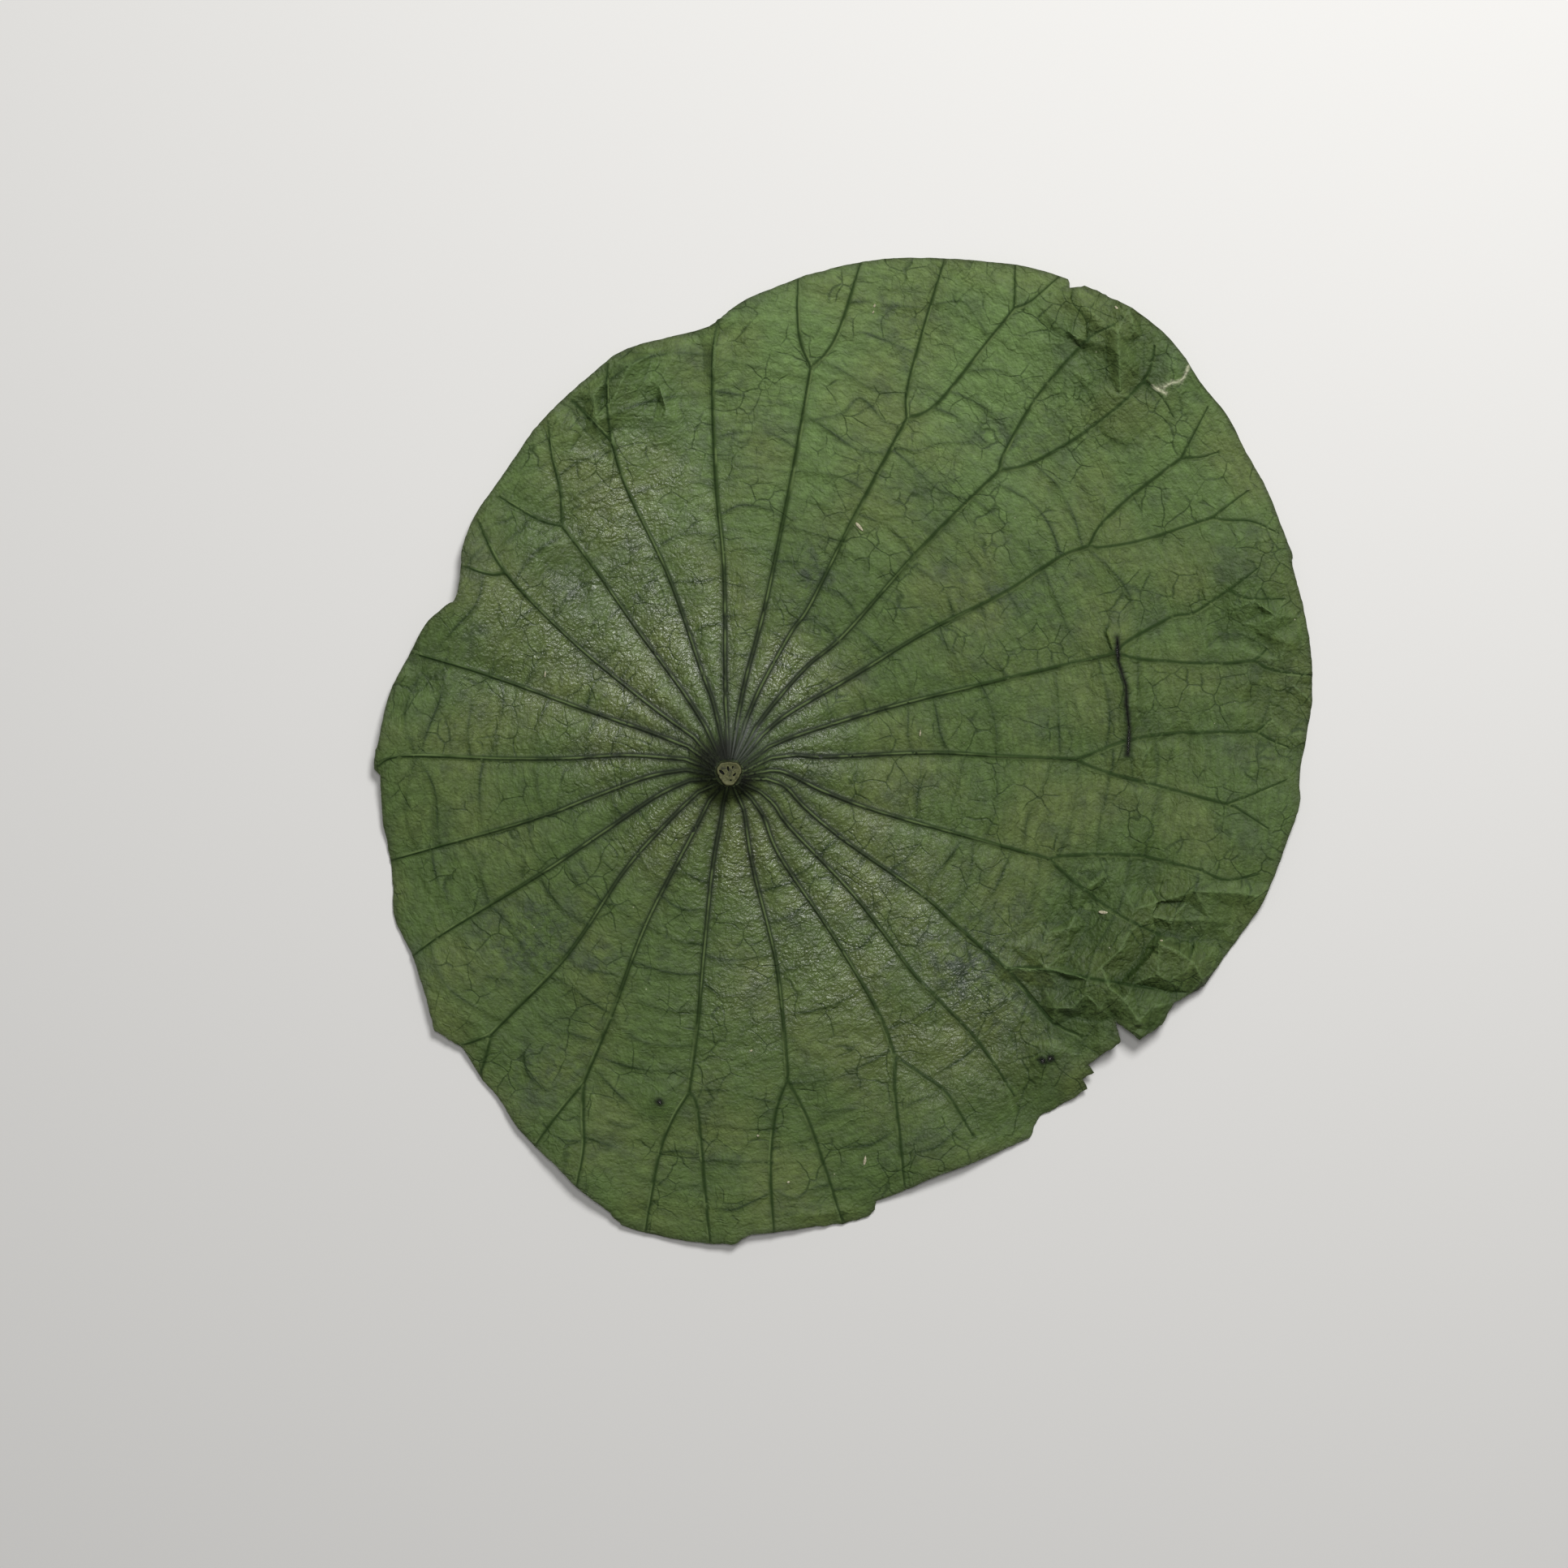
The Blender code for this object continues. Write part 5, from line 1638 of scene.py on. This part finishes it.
        halo = graph.math("MULTIPLY", graph.attribute("valley"), graph.span(reach, 10, 75, (0.6, 0.2)))
        base = graph.mix(halo, base, deep)
        base = graph.mix(graph.math("MULTIPLY", vein, 0.92), base, deep)
        # painted highlight along the lit flank of the vein crests
        painted_crest_highlight = graph.math("MULTIPLY", graph.attribute("crest"), graph.span(
            graph.noise(flat, 0.1, 2), 0.42, 0.58, (0.15, 0.75)))
        base = graph.mix(painted_crest_highlight, base, self.crest)
        # painted light on the crests of the folds
        base = graph.mix(graph.attribute("ridge"), base, self.painted_fold_highlight)
        base = graph.mix(graph.math("MULTIPLY", graph.attribute("shade"), 0.7), base, self.vein)
        base = graph.mix(graph.math("MULTIPLY", graph.attribute("edge"), 0.7), base, self.edge)
        # painted shadow round the stub and painted shade in the crack and the holes, in near-black
        base = graph.mix(graph.math("MAXIMUM", graph.attribute("dark"), graph.attribute("painted_opening_shade")), base, self.neck)
        around = graph.vector("SUBTRACT", flat, (STUB_OFFSET[0], STUB_OFFSET[1], 0)).outputs["Vector"]
        around = graph.vector("NORMALIZE", around).outputs["Vector"]
        # painted sheen in streaks on the cone's lit slope
        streaks = graph.span(self.ripples(graph, 0.0, around, 15, 1.0, 1), 0.4, 0.68)
        base = graph.mix(graph.math("MULTIPLY", graph.attribute("painted_cone_sheen"), streaks), base, self.painted_cone_sheen)
        dots = graph.cells(flat, 0.16)
        dust = graph.math("MULTIPLY", graph.span(dots.outputs["Distance"], 0.02, 0.05, (1.0, 0.0)),
                          graph.span(dots.outputs["Color"], 0.72, 0.8, (0.0, 0.5)))
        base = graph.mix(dust, base, self.scar)
        return graph.mix(graph.attribute("scar"), base, self.scar)

    def crackle(self, graph: Graph, flat: object) -> tuple[bpy.types.NodeSocket, bpy.types.NodeSocket]:
        """Two patchy nets of thin lines, a wide one and a fine one, each 1 on its lines."""
        wander = graph.vector("SCALE", graph.noise_vector(flat, 0.11), 5.0).outputs["Vector"]
        moved = graph.vector("ADD", flat, wander).outputs["Vector"]
        nets = []
        for scale, line, patch, low in ((0.125, 0.045, 0.07, 0.44), (0.27, 0.06, 0.05, 0.5)):
            cells = graph.cells(moved, scale, "DISTANCE_TO_EDGE").outputs["Distance"]
            nets.append(graph.math("MULTIPLY", graph.span(cells, 0.0, line, (1.0, 0.0)),
                                   graph.span(graph.noise(flat, patch, 3), low, low + 0.16)))
        return nets[0], nets[1]

    def height(self, graph: Graph, flat: object, reach: object, spoke: object, gloss: object) -> bpy.types.NodeSocket:
        """The skin's small relief in mm.

        Args:
            graph: the material's nodes.
            flat: the place in mm from the hub.
            reach: the distance from the hub in mm.
            spoke: the direction from the hub.
            gloss: where the skin is grained and waxy.

        Returns:
            The height's socket.
        """
        sway = graph.span(graph.noise(flat, 0.28, 1), 0.0, 1.0, (-2.2, 2.2))
        stripes = self.ripples(graph, graph.math("ADD", reach, sway), spoke, 11, 1.35, 1)
        grain = graph.noise(flat, 1.15, 1.5, 0.5)
        strength = graph.math("MULTIPLY", graph.span(gloss, 0.0, 0.9, (0.36, 0.62)),
                              graph.span(graph.attribute("vein"), 0.0, 0.8, (1.0, 0.25)))
        total = graph.math("ADD", graph.math("MULTIPLY", stripes, 1.0), graph.math("MULTIPLY", grain, 0.75))
        total = graph.math("MULTIPLY", total, strength)
        crimp = graph.math("ABSOLUTE", graph.math("SUBTRACT", graph.noise(flat, 0.3, 2), 0.5))
        total = graph.math("ADD", total, graph.math("MULTIPLY", crimp, graph.span(
            graph.attribute("crumple"), 0.0, 0.8, (0.6, 1.5))))
        wide, fine = self.crackle(graph, flat)
        lines = graph.math("ADD", graph.math("MULTIPLY", wide, 0.10), graph.math("MULTIPLY", fine, 0.06))
        return graph.math("SUBTRACT", total, lines)


@dataclass(frozen=True)
class StubFinish:
    """The stalk's cut face and wall: olive, with a paler rim and painted shade in the air channels."""

    wood: Colour = (0.050, 0.057, 0.010)
    dark: Colour = (0.022, 0.025, 0.006)
    pale: Colour = (0.110, 0.112, 0.042)
    # near-black for the painted shade in the air channels
    painted_channel_shade: Colour = (0.006, 0.007, 0.004)

    def material(self, plan: LeafPlan, face_height: float) -> bpy.types.Material:
        """Builds the material.

        Args:
            plan: the leaf's plan, for where the hub is.
            face_height: the height of the cut face in mm.

        Returns:
            The material.
        """
        graph = Graph("cut_stalk")
        mm = from_hub_in_mm(graph, plan)
        split = graph.tree.nodes.new("ShaderNodeSeparateXYZ")
        graph.put(split.inputs[0], mm)
        low = graph.span(split.outputs["Z"], face_height - 0.9, face_height - 0.25, (1.0, 0.0))
        fibres = graph.noise(mm, 1.6, 4, 0.65)
        face = graph.mix(graph.span(fibres, 0.35, 0.65), self.wood, self.pale)
        face = graph.mix(graph.span(graph.noise(mm, 0.7, 3), 0.5, 0.72), face, self.dark)
        shift = graph.vector("SUBTRACT", mm, (STUB_OFFSET[0], STUB_OFFSET[1], 0)).outputs["Vector"]
        out = graph.vector("LENGTH", graph.vector("MULTIPLY", shift, (1, 1, 0)).outputs["Vector"]).outputs["Value"]
        face = graph.mix(graph.span(out, 2.7, 3.1, (0.0, 0.55)), face, self.pale)
        # painted shade in the air channels below the cut face
        wall = graph.mix(graph.span(out, 2.9, 3.15), self.painted_channel_shade, self.dark)
        graph.put(graph.shader.inputs["Base Color"], graph.mix(low, face, wall))
        graph.shader.inputs["Roughness"].default_value = 0.7
        graph.bump(fibres, 0.00018)
        return graph.material


@dataclass(frozen=True)
class CrumbFinish:
    """Dry, papery plant skin."""

    straw: Colour = (0.50, 0.47, 0.33)
    husk: Colour = (0.30, 0.27, 0.17)

    def material(self, plan: LeafPlan) -> bpy.types.Material:
        """Builds the material, with its streaks in mm from the hub."""
        graph = Graph("dry_husk")
        mm = from_hub_in_mm(graph, plan)
        streaks = graph.noise(mm, 2.2, 3)
        graph.put(graph.shader.inputs["Base Color"], graph.mix(graph.span(streaks, 0.4, 0.65), self.straw, self.husk))
        graph.shader.inputs["Roughness"].default_value = 0.75
        graph.bump(streaks, 0.00012)
        return graph.material


@dataclass
class Studio:
    """Floor, lights and camera."""

    plan: LeafPlan
    lens: float = 85.0
    frame_width: float = 477.8
    frame_centre: tuple[float, float] = (-18.2, -10.1)
    key_power: float = 14.0
    fill_power: float = 5.5
    air: float = 0.11
    floor_colour: Colour = (0.78, 0.77, 0.75)

    def build(self) -> None:
        """Builds all of it and sets the scene's camera."""
        self.floor()
        self.light("key", (0.34, 0.78, 1.02), 0.5, self.key_power)
        self.light("fill", (-0.06, 0.2, 1.5), 0.5, self.fill_power)
        self.sky()
        self.camera()

    def floor(self) -> None:
        """Adds the pale floor that the leaf lies on."""
        bpy.ops.object.select_all(action="DESELECT")
        bpy.ops.mesh.primitive_plane_add(size=6.0, location=(0, 0, -0.05 * MM))
        floor = bpy.context.object
        floor.name = "floor"
        graph = Graph("pale_floor")
        graph.shader.inputs["Base Color"].default_value = (*self.floor_colour, 1.0)
        graph.shader.inputs["Roughness"].default_value = 0.9
        graph.shader.inputs["Specular IOR Level"].default_value = 0.1
        floor.data.materials.append(graph.material)

    def light(self, name: str, place: tuple[float, float, float], size: float, power: float) -> None:
        """Adds one soft light that points at the leaf.

        Args:
            name: the light's name.
            place: where it is, in metres.
            size: its side in metres.
            power: its power in watts.
        """
        bpy.ops.object.light_add(type="AREA", location=place)
        lamp = bpy.context.object
        lamp.name = name
        lamp.data.shape = "DISK"
        lamp.data.size = size
        lamp.data.energy = power
        lamp.rotation_euler = (-Vector(place)).to_track_quat("-Z", "Y").to_euler()

    def sky(self) -> None:
        """Adds even light from all round."""
        world = bpy.data.worlds.new("studio_air")
        world.use_nodes = True
        world.node_tree.nodes["Background"].inputs["Color"].default_value = (1.0, 0.99, 0.975, 1.0)
        world.node_tree.nodes["Background"].inputs["Strength"].default_value = self.air
        bpy.context.scene.world = world

    def camera(self) -> None:
        """Adds the camera, straight above."""
        data = bpy.data.cameras.new("camera")
        data.lens = self.lens
        camera = bpy.data.objects.new("camera", data)
        height = self.frame_width * MM * self.lens / data.sensor_width
        bpy.context.scene.view_settings.view_transform = "Standard"
        camera.location = (self.frame_centre[0] * MM, self.frame_centre[1] * MM, height)
        bpy.context.scene.collection.objects.link(camera)
        bpy.context.scene.camera = camera


def report(piece: bpy.types.Object) -> None:
    """Logs a finished piece with its number of triangles."""
    piece.data.calc_loop_triangles()
    log.info("%s: %d triangles", piece.name, len(piece.data.loop_triangles))


def main() -> None:
    logging.basicConfig(level=logging.INFO, format="%(message)s", stream=sys.stdout)
    plan = LeafPlan()
    relief = Relief(plan)
    blade = Blade(plan, relief).build()
    blade.data.materials.append(SkinFinish().material(plan))
    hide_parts(LEAF_NODE)
    stub = Stub(plan, relief).build()
    face_height = max(vert.co.z for vert in stub.data.vertices) / MM
    stub.data.polygons.foreach_set("material_index", np.zeros(len(stub.data.polygons), np.int32))
    stub.data.materials.append(StubFinish().material(plan, face_height))
    crumbs = Crumbs(plan, relief).build()
    crumbs.data.materials.append(CrumbFinish().material(plan))
    for piece in (blade, stub, crumbs):
        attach(piece, "root")
        report(piece)
    Studio(plan).build()


if __name__ == "__main__":
    main()
